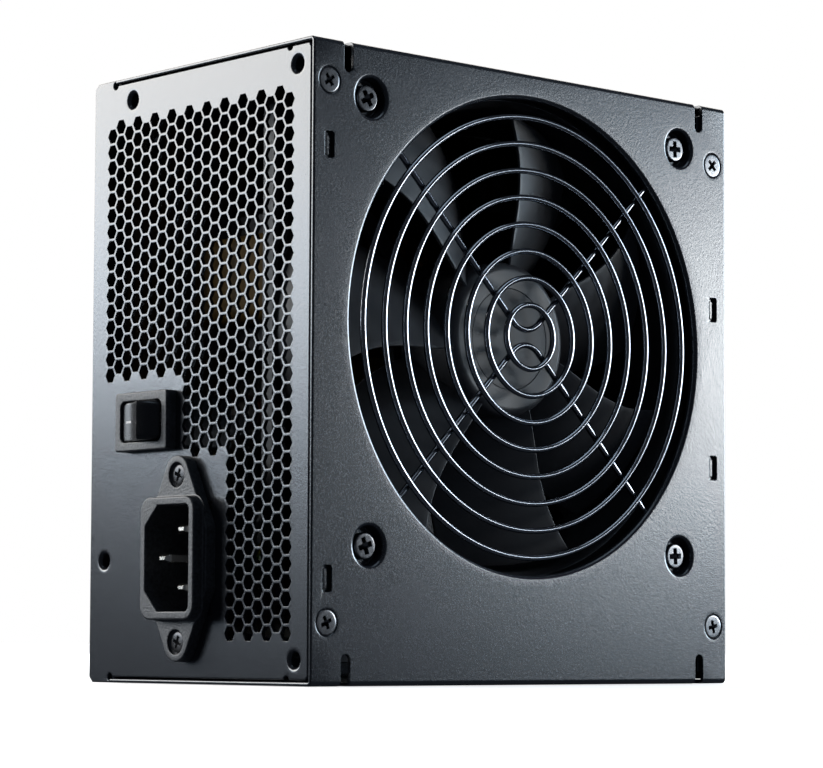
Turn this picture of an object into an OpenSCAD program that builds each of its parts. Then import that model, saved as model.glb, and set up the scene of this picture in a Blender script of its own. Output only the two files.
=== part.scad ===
// Computer power supply unit of the standard ATX size, standing on one narrow side.
// Millimetres. +X runs from the rear panel to the cable end, the fan looks out along -Y and +Z is up.
// The origin is the centre of the side that the unit stands on.

/* [Casing] */
// Length of the casing, from rear panel to cable end
case_x = 140; // [140:1:160]
// Thickness of the casing, from fan face to far face
case_y = 86; // [86:0.5:88]
// Height of the casing as it stands
case_z = 150; // [150:0.5:152]
// Thickness of the sheet steel
sheet = 1; // [0.8:0.1:1]
// Outside radius of the long bends
bend_r = 1.3; // [1.2:0.1:2.5]
// Distance from the middle plane to the seam between cover and tray
seam_y = 34.2; // [32:0.1:36]

/* [Rear panel] */
// Height of the four ATX mounting holes' two outer rows, from the base
mount_low_z = 6; // [6:0.1:6.4]
// Radius of the ATX mounting holes, number 6-32 thread
mount_r = 1.75; // [1.6:0.05:1.8]
// Distance between the centres of neighbouring vent holes
vent_pitch = 4; // [3.9:0.05:4.2]
// Width of a vent hole across its flats
vent_flat = 3.35; // [3:0.05:3.5]

/* [Fan] */
// Side of the fan's square frame
fan_size = 120; // [120]
// Thickness of the fan's frame
fan_thick = 25; // [25]
// Height of the fan's axis
fan_z = 85; // [84.5:0.1:85.5]
// Distance between the fan's screws
fan_pitch = 105; // [105]
// Diameter of the opening in the cover
opening_d = 117; // [114:0.5:118]
// Number of blades
blade_count = 7; // [5:1:9]
// Diameter of the hub
hub_d = 38.4; // [38.4]

/* [Wire guard] */
// Number of rings
ring_count = 8; // [6:1:8]
// Radius of the smallest ring
ring_first_r = 7.9; // [7.5:0.1:8.2]
// Distance from ring to ring
ring_step = 6.6; // [6:0.1:6.6]
// Diameter of the wire
wire_d = 1.5; // [1.2:0.1:1.5]

/* [Switch] */
// Height of the rocker switch's centre
switch_z = 63.7; // [63:0.1:65]
// Angle that the rocker swings to each side of its middle
rocker_swing = 23; // [15:1:23]

/* [Inlet] */
// Height of the mains inlet's centre
inlet_z = 30; // [29.5:0.1:31]
// Distance between the inlet's screws
inlet_pitch = 40; // [40]

/* [Hidden] */
$fn = 96;
small = 0.02;
cut = 0.1;

// Casing planes
rear_x = -case_x / 2;
end_x = case_x / 2;
fan_y = -case_y / 2;
far_y = case_y / 2;
edge = sheet + 0.4;
flange_w = 8.5;
flange_y = fan_y + sheet + 0.1;
lip_reach = 8;

// ATX holes as [y, z]
mount_holes = [[-37, mount_low_z], [-37, mount_low_z + 138], [27, mount_low_z + 138], [37, 30]];
collar_r = 2.6;
collar_len = 3.5;

// Vent columns: how many holes each has, counted from the fan side
vent_y0 = -34;
vent_top_z = 136;
column_step = vent_pitch * sqrt(3) / 2;
column_holes = [for (i = [0 : 20]) i < 7 ? 32 : i < 12 ? 21 : 16];

// Cover screws and tab slots as [x, z]
cover_screw_at = [[-65.3, 140.1], [65.2, 134.5], [-65.3, 14.6], [65.2, 14.6]];
screw_shank_r = 1.5;
sink_deep = 1.7;
sink_r = 3.25;
sink_end_r = 1.55;
rear_tabs = [[-65.2, 125], [-65.2, 24.7]];
end_tabs = [[65.3, 96.7], [65.3, 55.6]];
tab_slot = [2.8, 6.2];
edge_slot_x = [-59.5, 59.9];
edge_slot_w = 2.8;
edge_slot_len = 7.4;

// Dimples that carry the fan screws
dimple_r = 4.6;
dimple_deep = 3.2;
fan_corners = [for (x = [-1, 1], z = [-1, 1]) [x * fan_pitch / 2, fan_z + z * fan_pitch / 2]];

// Fan, from its front face inwards
fan_front_y = fan_y + sheet + dimple_deep + wire_d + 0.1;
fan_back_y = fan_front_y + fan_thick;
bore_r = 57.5;
hub_r = hub_d / 2;
hub_front = fan_y + 8;
hub_back = fan_back_y - 3.6;
blade_tip_r = 56;
blade_root_r = hub_r - 0.6;
shaft_r = 1.5;
sleeve_r = 3;
tube_r = 4.6;

// Wire guard: rings level with the fan face, struts welded behind them
ring_y = fan_y + wire_d / 2 + 0.05;
strut_y = ring_y + wire_d;
eye_y = fan_front_y - wire_d / 2 - 0.05;
eye_r = 3.2;
strut_bend_r = 6.2;
strut_side = 0.65;

// Inlet, as [y, z] sizes
inlet_y = 3.9;
inlet_hole_r = 1.6;
inlet_flange_t = 3;
collar_proud = 5.9;
socket = [17, 25.4];
inlet_collar = [21, 29.4];
inlet_body = [20, 27];
inlet_back_x = rear_x + 14;
pin_gap = 14;
pin_offset = 2;

// Switch, as [y, z] sizes
switch_y = 18.6;
bezel = [20.8, 14.4];
bezel_t = 3;
rocker_hole = [16.4, 10];
hole_corner_r = 1.6;
rocker_r = 7.9;
rocker_w = 9.6;
pivot_deep = 2.2;
pivot_x = rear_x - bezel_t + pivot_deep;
pivot_r = 1;
switch_back_x = rear_x + 18;

// Boards: components stand on the main board and point towards the fan
board_y = 36;
board_t = 1.6;
board_x = [-64, 64];
board_z = [8, 142];
standoff_at = [[-58, 14], [58, 14], [-58, 136], [58, 136]];

// Cable outlet
outlet_at = [16, 19];
outlet_r = 13;
grommet_r = 11;

steel = [0.17, 0.18, 0.2];
black = [0.06, 0.06, 0.07];
bright = [0.75, 0.76, 0.78];
copper = [0.72, 0.4, 0.2];
yellow = [0.85, 0.7, 0.15];

// ---------- helpers ----------

// A cylinder or cone along Y between two depths
module along_y(at, y0, y1, r, r_end = undef) {
    translate([at[0], y0, at[1]])
        rotate([-90, 0, 0])
            cylinder(h = y1 - y0, r1 = r, r2 = is_undef(r_end) ? r : r_end);
}

// A cylinder or cone along X between two stations, at [y, z]
module along_x(at, x0, x1, r, r_end = undef) {
    translate([x0, at[0], at[1]])
        rotate([0, 90, 0])
            cylinder(h = x1 - x0, r1 = r, r2 = is_undef(r_end) ? r : r_end);
}

// A box from its two corners
module block(a, b) {
    translate(a)
        cube(b - a);
}

// Extrudes a [y, z] outline along X
module extrude_x(x0, x1) {
    translate([x0, 0, 0])
        rotate([90, 0, 90])
            linear_extrude(height = x1 - x0)
                children();
}

// Extrudes an [x, z] outline along Y
module extrude_y(y0, y1) {
    translate([0, y1, 0])
        rotate([90, 0, 0])
            linear_extrude(height = y1 - y0)
                children();
}

// Puts a part on the main board: local x is X, local y is Z, local z is height
module on_board(x, z) {
    translate([x, board_y, z])
        rotate([90, 0, 0])
            children();
}

// A rectangle about the origin with round corners
module round_rect(size, r) {
    square([size[0] - 2 * r, size[1]], center = true);
    square([size[0], size[1] - 2 * r], center = true);
    for (x = [-1, 1], y = [-1, 1])
        translate([x * (size[0] / 2 - r), y * (size[1] / 2 - r)])
            circle(r);
}

// A box section that is square at a and round at its far corners
module bent_block(a, b, r) {
    translate(a)
        square([b[0] - a[0] - r, b[1] - a[1]]);
    translate([a[0], a[1] + r])
        square([b[0] - a[0], b[1] - a[1] - 2 * r]);
    for (z = [a[1] + r, b[1] - r])
        translate([b[0] - r, z])
            circle(r);
}

// The section of a sheet bent twice into a channel, open towards -Y
module channel_section(open_y) {
    difference() {
        bent_block([open_y, 0], [far_y, case_z], bend_r);
        bent_block([open_y - 1, sheet], [far_y - sheet, case_z - sheet], bend_r - sheet);
    }
}

// The outline of an end panel: full height past the seam, stepped in under the cover
module end_outline() {
    inner = bend_r - sheet - 0.1;
    polygon([
        [flange_y, edge + inner], [flange_y + inner, edge], [seam_y, edge], [seam_y, 0],
        [far_y - bend_r, 0], [far_y, bend_r], [far_y, case_z - bend_r], [far_y - bend_r, case_z],
        [seam_y, case_z], [seam_y, case_z - edge], [flange_y + inner, case_z - edge],
        [flange_y, case_z - edge - inner]
    ]);
}

// Relief notches beside the seam and near the fan side
module end_notches() {
    notch_r = 0.9;
    for (y = [-seam_y, seam_y], z = [edge, case_z - edge])
        translate([y, z])
            circle(notch_r);
}

// The flange behind the fan face that the cover is screwed to
module screw_flange(side) {
    x0 = side < 0 ? rear_x + sheet - cut : end_x - sheet - flange_w;
    block([x0, flange_y, 3], [x0 + flange_w + cut, flange_y + sheet, case_z - 3]);
}

// Tabs that stand up from the flange into the cover's slots
module tabs(places) {
    for (p = places)
        block([p[0] - 0.5, flange_y - 0.3, p[1] - 2.3], [p[0] + 0.5, flange_y + 0.5, p[1] + 2.3]);
}

// Tapped holes in the flanges, sunk for the screw heads
module flange_taps() {
    for (p = cover_screw_at) {
        along_y(p, flange_y - 1, flange_y + sheet + 1, screw_shank_r + small);
        along_y(p, fan_y - small, fan_y + sink_deep, sink_r, sink_end_r);
    }
}

// A cross recess cut into a screw head whose face is at y
module cross_recess_y(at, y, size, deep) {
    for (turn = [45, 135])
        translate([at[0], y, at[1]])
            rotate([0, turn, 0])
                translate([-size / 2, -cut, -size / 8])
                    cube([size, deep + cut, size / 4]);
}

// The same recess in a screw head that faces -X, at [y, z]
module cross_recess_x(at, x, size, deep) {
    for (turn = [20, 110])
        translate([x, at[0], at[1]])
            rotate([turn, 0, 0])
                translate([-cut, -size / 2, -size / 8])
                    cube([deep + cut, size, size / 4]);
}

// ---------- swept wires ----------

function unit(v) = v / norm(v);
function along(path, i) = unit(path[min(i + 1, len(path) - 1)] - path[max(i - 1, 0)]);

// Points of one ring of a tube, squared to the path
function tube_ring(path, i, r, n, up) =
    let (t = along(path, i), a = unit(cross(t, up)), b = cross(a, t))
    [for (k = [0 : n - 1]) path[i] + r * (cos(360 * k / n) * a + sin(360 * k / n) * b)];

// One smooth curve through hand-set points, with steps between each pair
function knot(p, i) = p[max(0, min(i, len(p) - 1))];
function curve_point(a, b, c, d, t) =
    0.5 * (2 * b + (c - a) * t + (2 * a - 5 * b + 4 * c - d) * t * t + (3 * b - a - 3 * c + d) * t * t * t);
function smooth(p, steps) = concat(
    [for (i = [0 : len(p) - 2], k = [0 : steps - 1])
        curve_point(knot(p, i - 1), knot(p, i), knot(p, i + 1), knot(p, i + 2), k / steps)],
    [p[len(p) - 1]]);

// A closed tube along a path, with n sides
module tube(path, r, n, up) {
    last = len(path) - 1;
    points = [for (i = [0 : last]) each tube_ring(path, i, r, n, up)];
    sides = [for (i = [0 : last - 1], k = [0 : n - 1])
        let (a = i * n + k, b = i * n + (k + 1) % n)
        each [[a, b, b + n], [a, b + n, a + n]]];
    caps = [[for (k = [n - 1 : -1 : 0]) k], [for (k = [0 : n - 1]) last * n + k]];
    polyhedron(points, concat(sides, caps), convexity = 8);
}

// ---------- casing ----------

module chassis_tray() {
    color(steel)
        difference() {
            union() {
                extrude_x(rear_x + sheet, end_x - sheet)
                    channel_section(seam_y);
                for (side = [0, 1])
                    translate([0, 0, side * case_z])
                        mirror([0, 0, side])
                            tray_lip();
                extrude_x(end_x - sheet, end_x)
                    difference() {
                        end_outline();
                        end_notches();
                    }
                screw_flange(1);
                tabs(end_tabs);
            }
            flange_taps();
            along_x(outlet_at, end_x - 5, end_x + 5, outlet_r + small);
        }
}

// The tray's lip steps in by one sheet and runs on under the cover
module tray_lip() {
    block([rear_x + sheet, seam_y, sheet / 2], [end_x - sheet, seam_y + sheet, 2 * sheet + small]);
    block([rear_x + sheet, seam_y - lip_reach, sheet + small],
        [end_x - sheet, seam_y + sheet / 2, 2 * sheet + small]);
}

module rear_panel() {
    color(steel)
        difference() {
            union() {
                extrude_x(rear_x, rear_x + sheet)
                    difference() {
                        end_outline();
                        end_notches();
                    }
                for (p = mount_holes)
                    along_x(p, rear_x + sheet / 2, rear_x + collar_len, collar_r);
                screw_flange(-1);
                tabs(rear_tabs);
            }
            flange_taps();
            for (p = mount_holes)
                along_x(p, rear_x - 1, rear_x + collar_len + 1, mount_r);
            vent_holes();
            rear_cutouts();
        }
}

// Honeycomb of hexagons with their points to the sides
module vent_holes() {
    for (i = [0 : len(column_holes) - 1], k = [0 : column_holes[i] - 1])
        translate([rear_x - 1, vent_y0 + i * column_step, vent_top_z + (i % 2 - 2 * k) * vent_pitch / 2])
            rotate([30, 0, 0])
                rotate([0, 90, 0])
                    cylinder(h = sheet + 2, r = vent_flat / sqrt(3), $fn = 6);
}

module rear_cutouts() {
    extrude_x(rear_x - 1, rear_x + 2)
        union() {
            translate([inlet_y, inlet_z])
                square(inlet_body + [0.3, 0.3], center = true);
            translate([switch_y, switch_z])
                square([19.2, 13], center = true);
        }
    for (z = [-1, 1])
        along_x([inlet_y, inlet_z + z * inlet_pitch / 2], rear_x - 1, rear_x + 2, inlet_hole_r);
}

module fan_cover() {
    color(steel)
        difference() {
            union() {
                mirror([0, 1, 0])
                    extrude_x(rear_x, end_x)
                        channel_section(-seam_y + 0.05);
                along_y([0, fan_z], fan_y + sheet / 2, fan_y + sheet + 0.5, opening_d / 2 + sheet);
                for (p = fan_corners)
                    along_y(p, fan_y + sheet / 2, fan_y + sheet + dimple_deep, dimple_r + sheet);
            }
            along_y([0, fan_z], fan_y - 1, fan_y + 5, opening_d / 2);
            along_y([0, fan_z], fan_y - small, fan_y + 0.5, opening_d / 2 + 0.5, opening_d / 2);
            for (p = fan_corners)
                dimple_cut(p);
            for (p = cover_screw_at) {
                along_y(p, fan_y - 1, fan_y + 5, screw_shank_r + 0.2);
                along_y(p, fan_y - small, fan_y + sink_deep, sink_r, sink_end_r);
            }
            for (p = concat(rear_tabs, end_tabs))
                translate([p[0], 0, p[1]])
                    extrude_y(fan_y - 1, fan_y + 3)
                        round_rect(tab_slot, 0.6);
            for (x = edge_slot_x, side = [0, 1])
                translate([x, 0, side * case_z])
                    mirror([0, 0, side])
                        edge_slot();
        }
}

// The recess of one fan-screw dimple, with a lead-in at its mouth
module dimple_cut(p) {
    along_y(p, fan_y - 1, fan_y + dimple_deep, dimple_r);
    along_y(p, fan_y - small, fan_y + 0.4, dimple_r + 0.4, dimple_r);
    along_y(p, fan_y, fan_y + 5, 2.3);
}

// A slot through the long bend, open at the side wall and round at its inner end
module edge_slot() {
    r = edge_slot_w / 2;
    block([-r, fan_y - 1, -1], [r, fan_y + 4.5, edge_slot_len - r]);
    along_y([0, edge_slot_len - r], fan_y - 1, fan_y + 4.5, r);
}

module cover_screws() {
    color(bright)
        for (p = cover_screw_at)
            difference() {
                union() {
                    along_y(p, fan_y + 0.05, fan_y + sink_deep, sink_r - 0.15, screw_shank_r);
                    along_y(p, fan_y + 0.5, fan_y + 7, screw_shank_r);
                }
                cross_recess_y(p, fan_y + 0.05, 3.4, 1.1);
            }
}

module insulation_sheet() {
    color([0.1, 0.1, 0.1])
        difference() {
            block([-66, far_y - sheet - 1, 5], [66, far_y - sheet - 0.5, 145]);
            for (p = standoff_at)
                along_y(p, far_y - 5, far_y, 3.6);
        }
}

module cable_grommet() {
    color(black)
        difference() {
            union() {
                along_x(outlet_at, end_x, end_x + 1.4, grommet_r + 4, grommet_r + 3.4);
                along_x(outlet_at, end_x - sheet - 1.4, end_x - sheet, grommet_r + 4);
                along_x(outlet_at, end_x - sheet - 1, end_x + 1, outlet_r);
            }
            along_x(outlet_at, end_x - 5, end_x + 5, grommet_r);
        }
}

// ---------- mains inlet ----------

// The flange with its two tapered ears
module inlet_flange_outline() {
    half = inlet_pitch / 2;
    ear = 4.7;
    wide = 11.6;
    flat = 7.5;
    // Where a line from the wide part's corner touches the ear's circle
    reach = norm([wide, half - flat]);
    lean = atan2(wide, half - flat) - asin(ear / reach);
    touch = [cos(lean), sin(lean)] * ear;
    for (z = [-1, 1])
        translate([0, z * half])
            circle(ear);
    polygon([
        [wide, -flat], [wide, flat], [touch[0], half + touch[1]], [-touch[0], half + touch[1]],
        [-wide, flat], [-wide, -flat], [-touch[0], -half - touch[1]], [touch[0], -half - touch[1]]
    ]);
}

// The keyed outline of the socket, cut off at its two earth-side corners
module socket_outline() {
    y = socket[0] / 2;
    z = socket[1] / 2;
    key = 4.9;
    r = 1.4;
    polygon([
        [-y + r, -z], [y - key, -z], [y, -z + key], [y, z - key], [y - key, z], [-y + r, z],
        [-y, z - r], [-y, -z + r]
    ]);
    for (side = [-1, 1])
        translate([-y + r, side * (z - r)])
            circle(r);
}

module inlet_housing() {
    color(black)
        difference() {
            translate([0, inlet_y, inlet_z])
                union() {
                    extrude_x(rear_x - inlet_flange_t, rear_x)
                        inlet_flange_outline();
                    extrude_x(rear_x - collar_proud, rear_x - 1)
                        round_rect(inlet_collar, 3.6);
                    extrude_x(rear_x - 1, inlet_back_x)
                        round_rect(inlet_body, 2);
                }
            translate([0, inlet_y, inlet_z])
                extrude_x(rear_x - collar_proud - 1, inlet_back_x - 4)
                    socket_outline();
            for (z = [-1, 1])
                pin_slot([inlet_y - pin_offset, inlet_z + z * pin_gap / 2]);
            pin_slot([inlet_y + pin_offset, inlet_z]);
            for (z = [-1, 1])
                inlet_screw_cut([inlet_y, inlet_z + z * inlet_pitch / 2]);
        }
}

module pin_slot(at) {
    block([inlet_back_x - 6, at[0] - 2 - small, at[1] - 1 - small],
        [inlet_back_x + 1, at[0] + 2 + small, at[1] + 1 + small]);
}

module inlet_screw_cut(at) {
    face_x = rear_x - inlet_flange_t;
    along_x(at, rear_x - 5, rear_x + 1, inlet_hole_r);
    along_x(at, face_x - 1, face_x + 0.6, 3);
    along_x(at, face_x + 0.5, face_x + 1.9, 3, inlet_hole_r);
}

// One contact blade, chamfered at its tip, with a solder tab behind
module contact_pin(at, tip_x) {
    translate([0, 0, at[1] - 1])
        linear_extrude(height = 2)
            polygon([
                [tip_x, at[0] - 1.2], [tip_x + 1.2, at[0] - 2], [inlet_back_x, at[0] - 2],
                [inlet_back_x, at[0] + 2], [tip_x + 1.2, at[0] + 2], [tip_x, at[0] + 1.2]
            ]);
    block([inlet_back_x - 1, at[0] - 1.5, at[1] - 0.4], [inlet_back_x + 8, at[0] + 1.5, at[1] + 0.4]);
}

module inlet_pins() {
    color(bright)
        for (z = [-1, 1])
            contact_pin([inlet_y - pin_offset, inlet_z + z * pin_gap / 2], rear_x - 3);
}

module inlet_earth_pin() {
    color(bright)
        contact_pin([inlet_y + pin_offset, inlet_z], rear_x - 5.5);
}

module inlet_screws() {
    color(black)
        for (z = [-1, 1])
            inlet_screw([inlet_y, inlet_z + z * inlet_pitch / 2]);
}

module inlet_screw(at) {
    head_x = rear_x - inlet_flange_t + 0.5;
    difference() {
        union() {
            along_x(at, head_x, head_x + 1.3, 2.7, 1.5);
            along_x(at, head_x + 0.2, rear_x + 5, 1.5);
        }
        cross_recess_x(at, head_x, 3.2, 1);
    }
}

module inlet_nuts() {
    color(bright)
        for (z = [-1, 1])
            difference() {
                translate([rear_x + sheet, inlet_y, inlet_z + z * inlet_pitch / 2])
                    rotate([0, 90, 0])
                        cylinder(h = 2.4, r = 3.1, $fn = 6);
                along_x([inlet_y, inlet_z + z * inlet_pitch / 2], rear_x, rear_x + 9, 1.5 + small);
            }
}

// ---------- switch ----------

module switch_housing() {
    color(black)
        difference() {
            translate([0, switch_y, switch_z])
                union() {
                    extrude_x(rear_x - bezel_t, rear_x)
                        round_rect(bezel, 0.8);
                    extrude_x(rear_x - 1, switch_back_x)
                        square([18.8, 12.8], center = true);
                }
            translate([0, switch_y, switch_z])
                extrude_x(rear_x - bezel_t - 1, switch_back_x - 3)
                    round_rect(rocker_hole, hole_corner_r);
            translate([pivot_x, switch_y, switch_z - 6])
                cylinder(h = 12, r = pivot_r + 0.04);
            for (y = [-1, 1])
                terminal_slot(y);
        }
}

// Where a spade tab goes through the housing's back wall
module terminal_slot(side) {
    y = switch_y + side * 5;
    block([switch_back_x - 4, y - 0.4 - small, switch_z - 2.4 - small],
        [switch_back_x + 1, y + 0.4 + small, switch_z + 2.4 + small]);
}

module switch_terminals() {
    color(bright)
        for (side = [-1, 1])
            block([switch_back_x - 2.8, switch_y + side * 5 - 0.4, switch_z - 2.4],
                [switch_back_x + 7, switch_y + side * 5 + 0.4, switch_z + 2.4]);
}

// The round stock of the rocker, with its two edges rounded
module rocker_barrel() {
    round_edge = 1.6;
    inner = rocker_r - round_edge;
    rotate_extrude() {
        square([inner, rocker_w]);
        translate([0, round_edge])
            square([rocker_r, rocker_w - 2 * round_edge]);
        for (z = [round_edge, rocker_w - round_edge])
            translate([inner, z])
                circle(round_edge);
    }
}

// The rocker lies pressed in at its +Y end, so it stands out at its -Y end
module switch_rocker() {
    saddle_low = 3.2;
    saddle_r = 18;
    color(black)
        translate([pivot_x, switch_y, switch_z])
            rotate([0, 0, -rocker_swing])
                union() {
                    difference() {
                        translate([0, 0, -rocker_w / 2])
                            rocker_barrel();
                        translate([-saddle_low - saddle_r, 0, -rocker_w / 2 - 1])
                            cylinder(h = rocker_w + 2, r = saddle_r);
                        block([-rocker_r - 6, -rocker_r - 1, -rocker_w],
                            [-rocker_r + 0.6, rocker_r + 1, rocker_w]);
                        block([3, -rocker_r - 1, -rocker_w], [rocker_r + 1, rocker_r + 1, rocker_w]);
                    }
                    translate([0, 0, -rocker_w / 2 - 0.55])
                        cylinder(h = rocker_w + 1.1, r = pivot_r);
                    translate([2, 0, 0])
                        rotate([0, 90, 0])
                            cylinder(h = 5, r = 1.6);
                }
}

// ---------- wire guard ----------

module guard_rings() {
    color(bright)
        for (k = [0 : ring_count - 1])
            translate([0, ring_y, fan_z])
                rotate([90, 0, 0])
                    rotate_extrude()
                        translate([ring_first_r + k * ring_step, 0])
                            circle(wire_d / 2, $fn = 32);
}

// Half of one strut wire: from the middle of its bend out to the eye round a fan screw
function strut_half() =
    let (
        side = -strut_side,
        bend_z = strut_bend_r * sqrt(2) + side,
        step_in = 43,
        step_out = 47,
        screw = fan_pitch / 2,
        start = screw - (eye_r + 1) / sqrt(2)
    )
    concat(
        [for (a = [0 : 9 : 45]) [strut_bend_r * sin(a), strut_y, bend_z - strut_bend_r * cos(a)]],
        [[14, strut_y, 14 + side], [28, strut_y, 28 + side], [step_in, strut_y, step_in + side]],
        [[step_out, eye_y, step_out + side], [start, eye_y, start + side]],
        [for (a = [260 : 29 : 550])
            [screw + eye_r * cos(a), eye_y, screw + eye_r * sin(a)]]
    );

function flip_x(path) = [for (i = [len(path) - 1 : -1 : 1]) [-path[i][0], path[i][1], path[i][2]]];

// Two wires bent to a shallow V, the lower one a mirror image of the upper one
module guard_struts() {
    half = strut_half();
    color(bright)
        for (side = [0, 1])
            translate([0, 0, fan_z])
                mirror([0, 0, side])
                    tube(concat(flip_x(half), half), wire_d / 2, 10, [0, 1, 0]);
}

// ---------- fan ----------

module fan_frame() {
    color(black)
        difference() {
            union() {
                for (y = [fan_front_y, fan_back_y - 4])
                    translate([0, 0, fan_z])
                        extrude_y(y, y + 4)
                            round_rect([fan_size, fan_size], 6);
                along_y([0, fan_z], fan_front_y + 1, fan_back_y - 1, bore_r + 1.5);
            }
            fan_bore();
            for (p = fan_corners)
                along_y(p, fan_front_y - 1, fan_back_y + 1, 2.12);
        }
}

// The round passage through the fan, flared at its front
module fan_bore() {
    flare = 1.2;
    translate([0, fan_front_y, fan_z])
        rotate([-90, 0, 0])
            rotate_extrude()
                polygon([
                    [0, -1], [bore_r + flare, -1], [bore_r + flare, 0],
                    [bore_r, 2], [bore_r, fan_thick + 1], [0, fan_thick + 1]
                ]);
}

// The motor's base, its bearing tube and the four arms that hold it in the frame
module fan_motor_mount() {
    arm_end = bore_r - 0.05;
    color(black)
        difference() {
            union() {
                for (turn = [0 : 3])
                    translate([0, 0, fan_z])
                        rotate([0, 45 + turn * 90, 0])
                            block([19, fan_back_y - 2.6, -2.2], [arm_end, fan_back_y - 0.4, 2.2]);
                along_y([0, fan_z], fan_back_y - 3, fan_back_y, 21);
                along_y([0, fan_z], hub_front + 4.5, fan_back_y - 1, tube_r);
            }
            along_y([0, fan_z], hub_front, fan_back_y - 0.8, sleeve_r + small);
        }
}

module fan_screws() {
    seat_y = fan_y + dimple_deep;
    head_r = 3.15;
    head_h = 1.8;
    edge_h = 1.3;
    shank_r = 2.1;
    color(bright)
        for (p = fan_corners)
            difference() {
                union() {
                    along_y(p, seat_y - head_h, seat_y - edge_h, head_r - 0.7, head_r);
                    along_y(p, seat_y - edge_h, seat_y, head_r);
                    along_y(p, seat_y - 0.5, seat_y + 15, shank_r);
                }
                cross_recess_y(p, seat_y - head_h, 3.8, 1.3);
            }
}

// Edges of a blade at s = 0 at the hub to 1 at the tip: angles from +X, and depths into the fan
function front_angle(s) = 87.5 - 4.5 * sin(180 * s);
function back_angle(s) = 40 + 15 * pow(s, 1.6);
function front_depth(s) = 3.2 + s;
function back_depth(s) = 19 - 3 * s;

// A point on the blade at chord position c, off its middle surface by the half thickness
function blade_point(s, c, side) =
    let (
        r = blade_root_r + s * (blade_tip_r - blade_root_r),
        angle = front_angle(s) + c * (back_angle(s) - front_angle(s)),
        depth = front_depth(s) + (back_depth(s) - front_depth(s)) * (0.7 * c + 0.3 * c * c),
        half = 0.45 + 0.65 * sin(180 * c)
    )
    [r * cos(angle), fan_front_y + depth + side * half, r * sin(angle)];

// One blade as a closed skin of two curved grids
module blade() {
    rows = 7;
    cols = 7;
    grid = rows * cols;
    points = [for (side = [-1, 1], i = [0 : rows - 1], j = [0 : cols - 1])
        blade_point(i / (rows - 1), j / (cols - 1), side)];
    front = [for (i = [0 : rows - 2], j = [0 : cols - 2])
        let (a = i * cols + j) each [[a, a + cols, a + 1], [a + 1, a + cols, a + cols + 1]]];
    back = [for (f = front) [f[2] + grid, f[1] + grid, f[0] + grid]];
    rim = concat(
        [for (j = [0 : cols - 1]) j],
        [for (i = [1 : rows - 1]) i * cols + cols - 1],
        [for (j = [cols - 2 : -1 : 0]) (rows - 1) * cols + j],
        [for (i = [rows - 2 : -1 : 1]) i * cols]
    );
    skirt = [for (k = [0 : len(rim) - 1])
        let (a = rim[k], b = rim[(k + 1) % len(rim)])
        each [[a, b + grid, a + grid], [a, b, b + grid]]];
    polyhedron(points, concat(front, back, skirt), convexity = 6);
}

module fan_rotor() {
    wall = 1.5;
    round_edge = 2.4;
    color(black)
        union() {
            difference() {
                translate([0, hub_front, fan_z])
                    rotate([-90, 0, 0])
                        rotate_extrude() {
                            square([hub_r - round_edge, hub_back - hub_front]);
                            translate([0, round_edge])
                                square([hub_r, hub_back - hub_front - round_edge]);
                            translate([hub_r - round_edge, round_edge])
                                circle(round_edge);
                        }
                along_y([0, fan_z], hub_front + wall, hub_back + 1, hub_r - wall);
                along_y([0, fan_z], hub_front + 0.5, hub_back, shaft_r + small);
                along_y([0, fan_z], hub_front - 1, hub_front + 0.2, 12.6);
            }
            translate([0, 0, fan_z])
                for (i = [0 : blade_count - 1])
                    rotate([0, i * 360 / blade_count, 0])
                        blade();
        }
}

module fan_label() {
    color([0.3, 0.3, 0.32])
        along_y([0, fan_z], hub_front + 0.05, hub_front + 0.2, 12.5);
}

module fan_shaft() {
    color(bright)
        difference() {
            along_y([0, fan_z], hub_front + 0.5, fan_back_y - 1.2, shaft_r);
            difference() {
                along_y([0, fan_z], fan_back_y - 2.1, fan_back_y - 1.6, shaft_r + 1);
                along_y([0, fan_z], fan_back_y - 3, fan_back_y, shaft_r - 0.3);
            }
        }
}

module fan_bearing() {
    color([0.7, 0.5, 0.25])
        difference() {
            along_y([0, fan_z], hub_front + 4.5, fan_back_y - 2.3, sleeve_r);
            along_y([0, fan_z], hub_front, fan_back_y, shaft_r + 0.03);
        }
}

module fan_retaining_clip() {
    color([0.9, 0.9, 0.88])
        difference() {
            along_y([0, fan_z], fan_back_y - 2.05, fan_back_y - 1.65, 2.7);
            along_y([0, fan_z], fan_back_y - 3, fan_back_y, shaft_r - 0.3 + small);
        }
}

// A ring about the fan's axis
module fan_ring(y0, y1, r_in, r_out) {
    difference() {
        along_y([0, fan_z], y0, y1, r_out);
        along_y([0, fan_z], y0 - 1, y1 + 1, r_in);
    }
}

module fan_flux_ring() {
    color([0.5, 0.5, 0.52])
        fan_ring(hub_front + 1.5, hub_back - 0.5, 16.7, hub_r - 1.5 - small);
}

module fan_magnet() {
    color([0.2, 0.18, 0.17])
        fan_ring(hub_front + 3, hub_back - 1.5, 14.6, 16.7 - small);
}

// Laminated core with four T-shaped poles
module fan_stator() {
    y0 = hub_front + 6;
    y1 = hub_back - 4;
    color([0.55, 0.56, 0.58])
        difference() {
            union() {
                along_y([0, fan_z], y0, y1, 7);
                translate([0, 0, fan_z])
                    for (turn = [0 : 3])
                        rotate([0, turn * 90, 0])
                            block([6, y0, -1.6], [12.6, y1, 1.6]);
                intersection() {
                    fan_ring(y0, y1, 12.4, 13.9);
                    translate([0, 0, fan_z])
                        for (turn = [0 : 1])
                            rotate([0, turn * 90, 0])
                                block([-15, y0 - 1, -5.5], [15, y1 + 1, 5.5]);
                }
            }
            along_y([0, fan_z], y0 - 1, y1 + 1, tube_r + small);
        }
}

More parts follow.
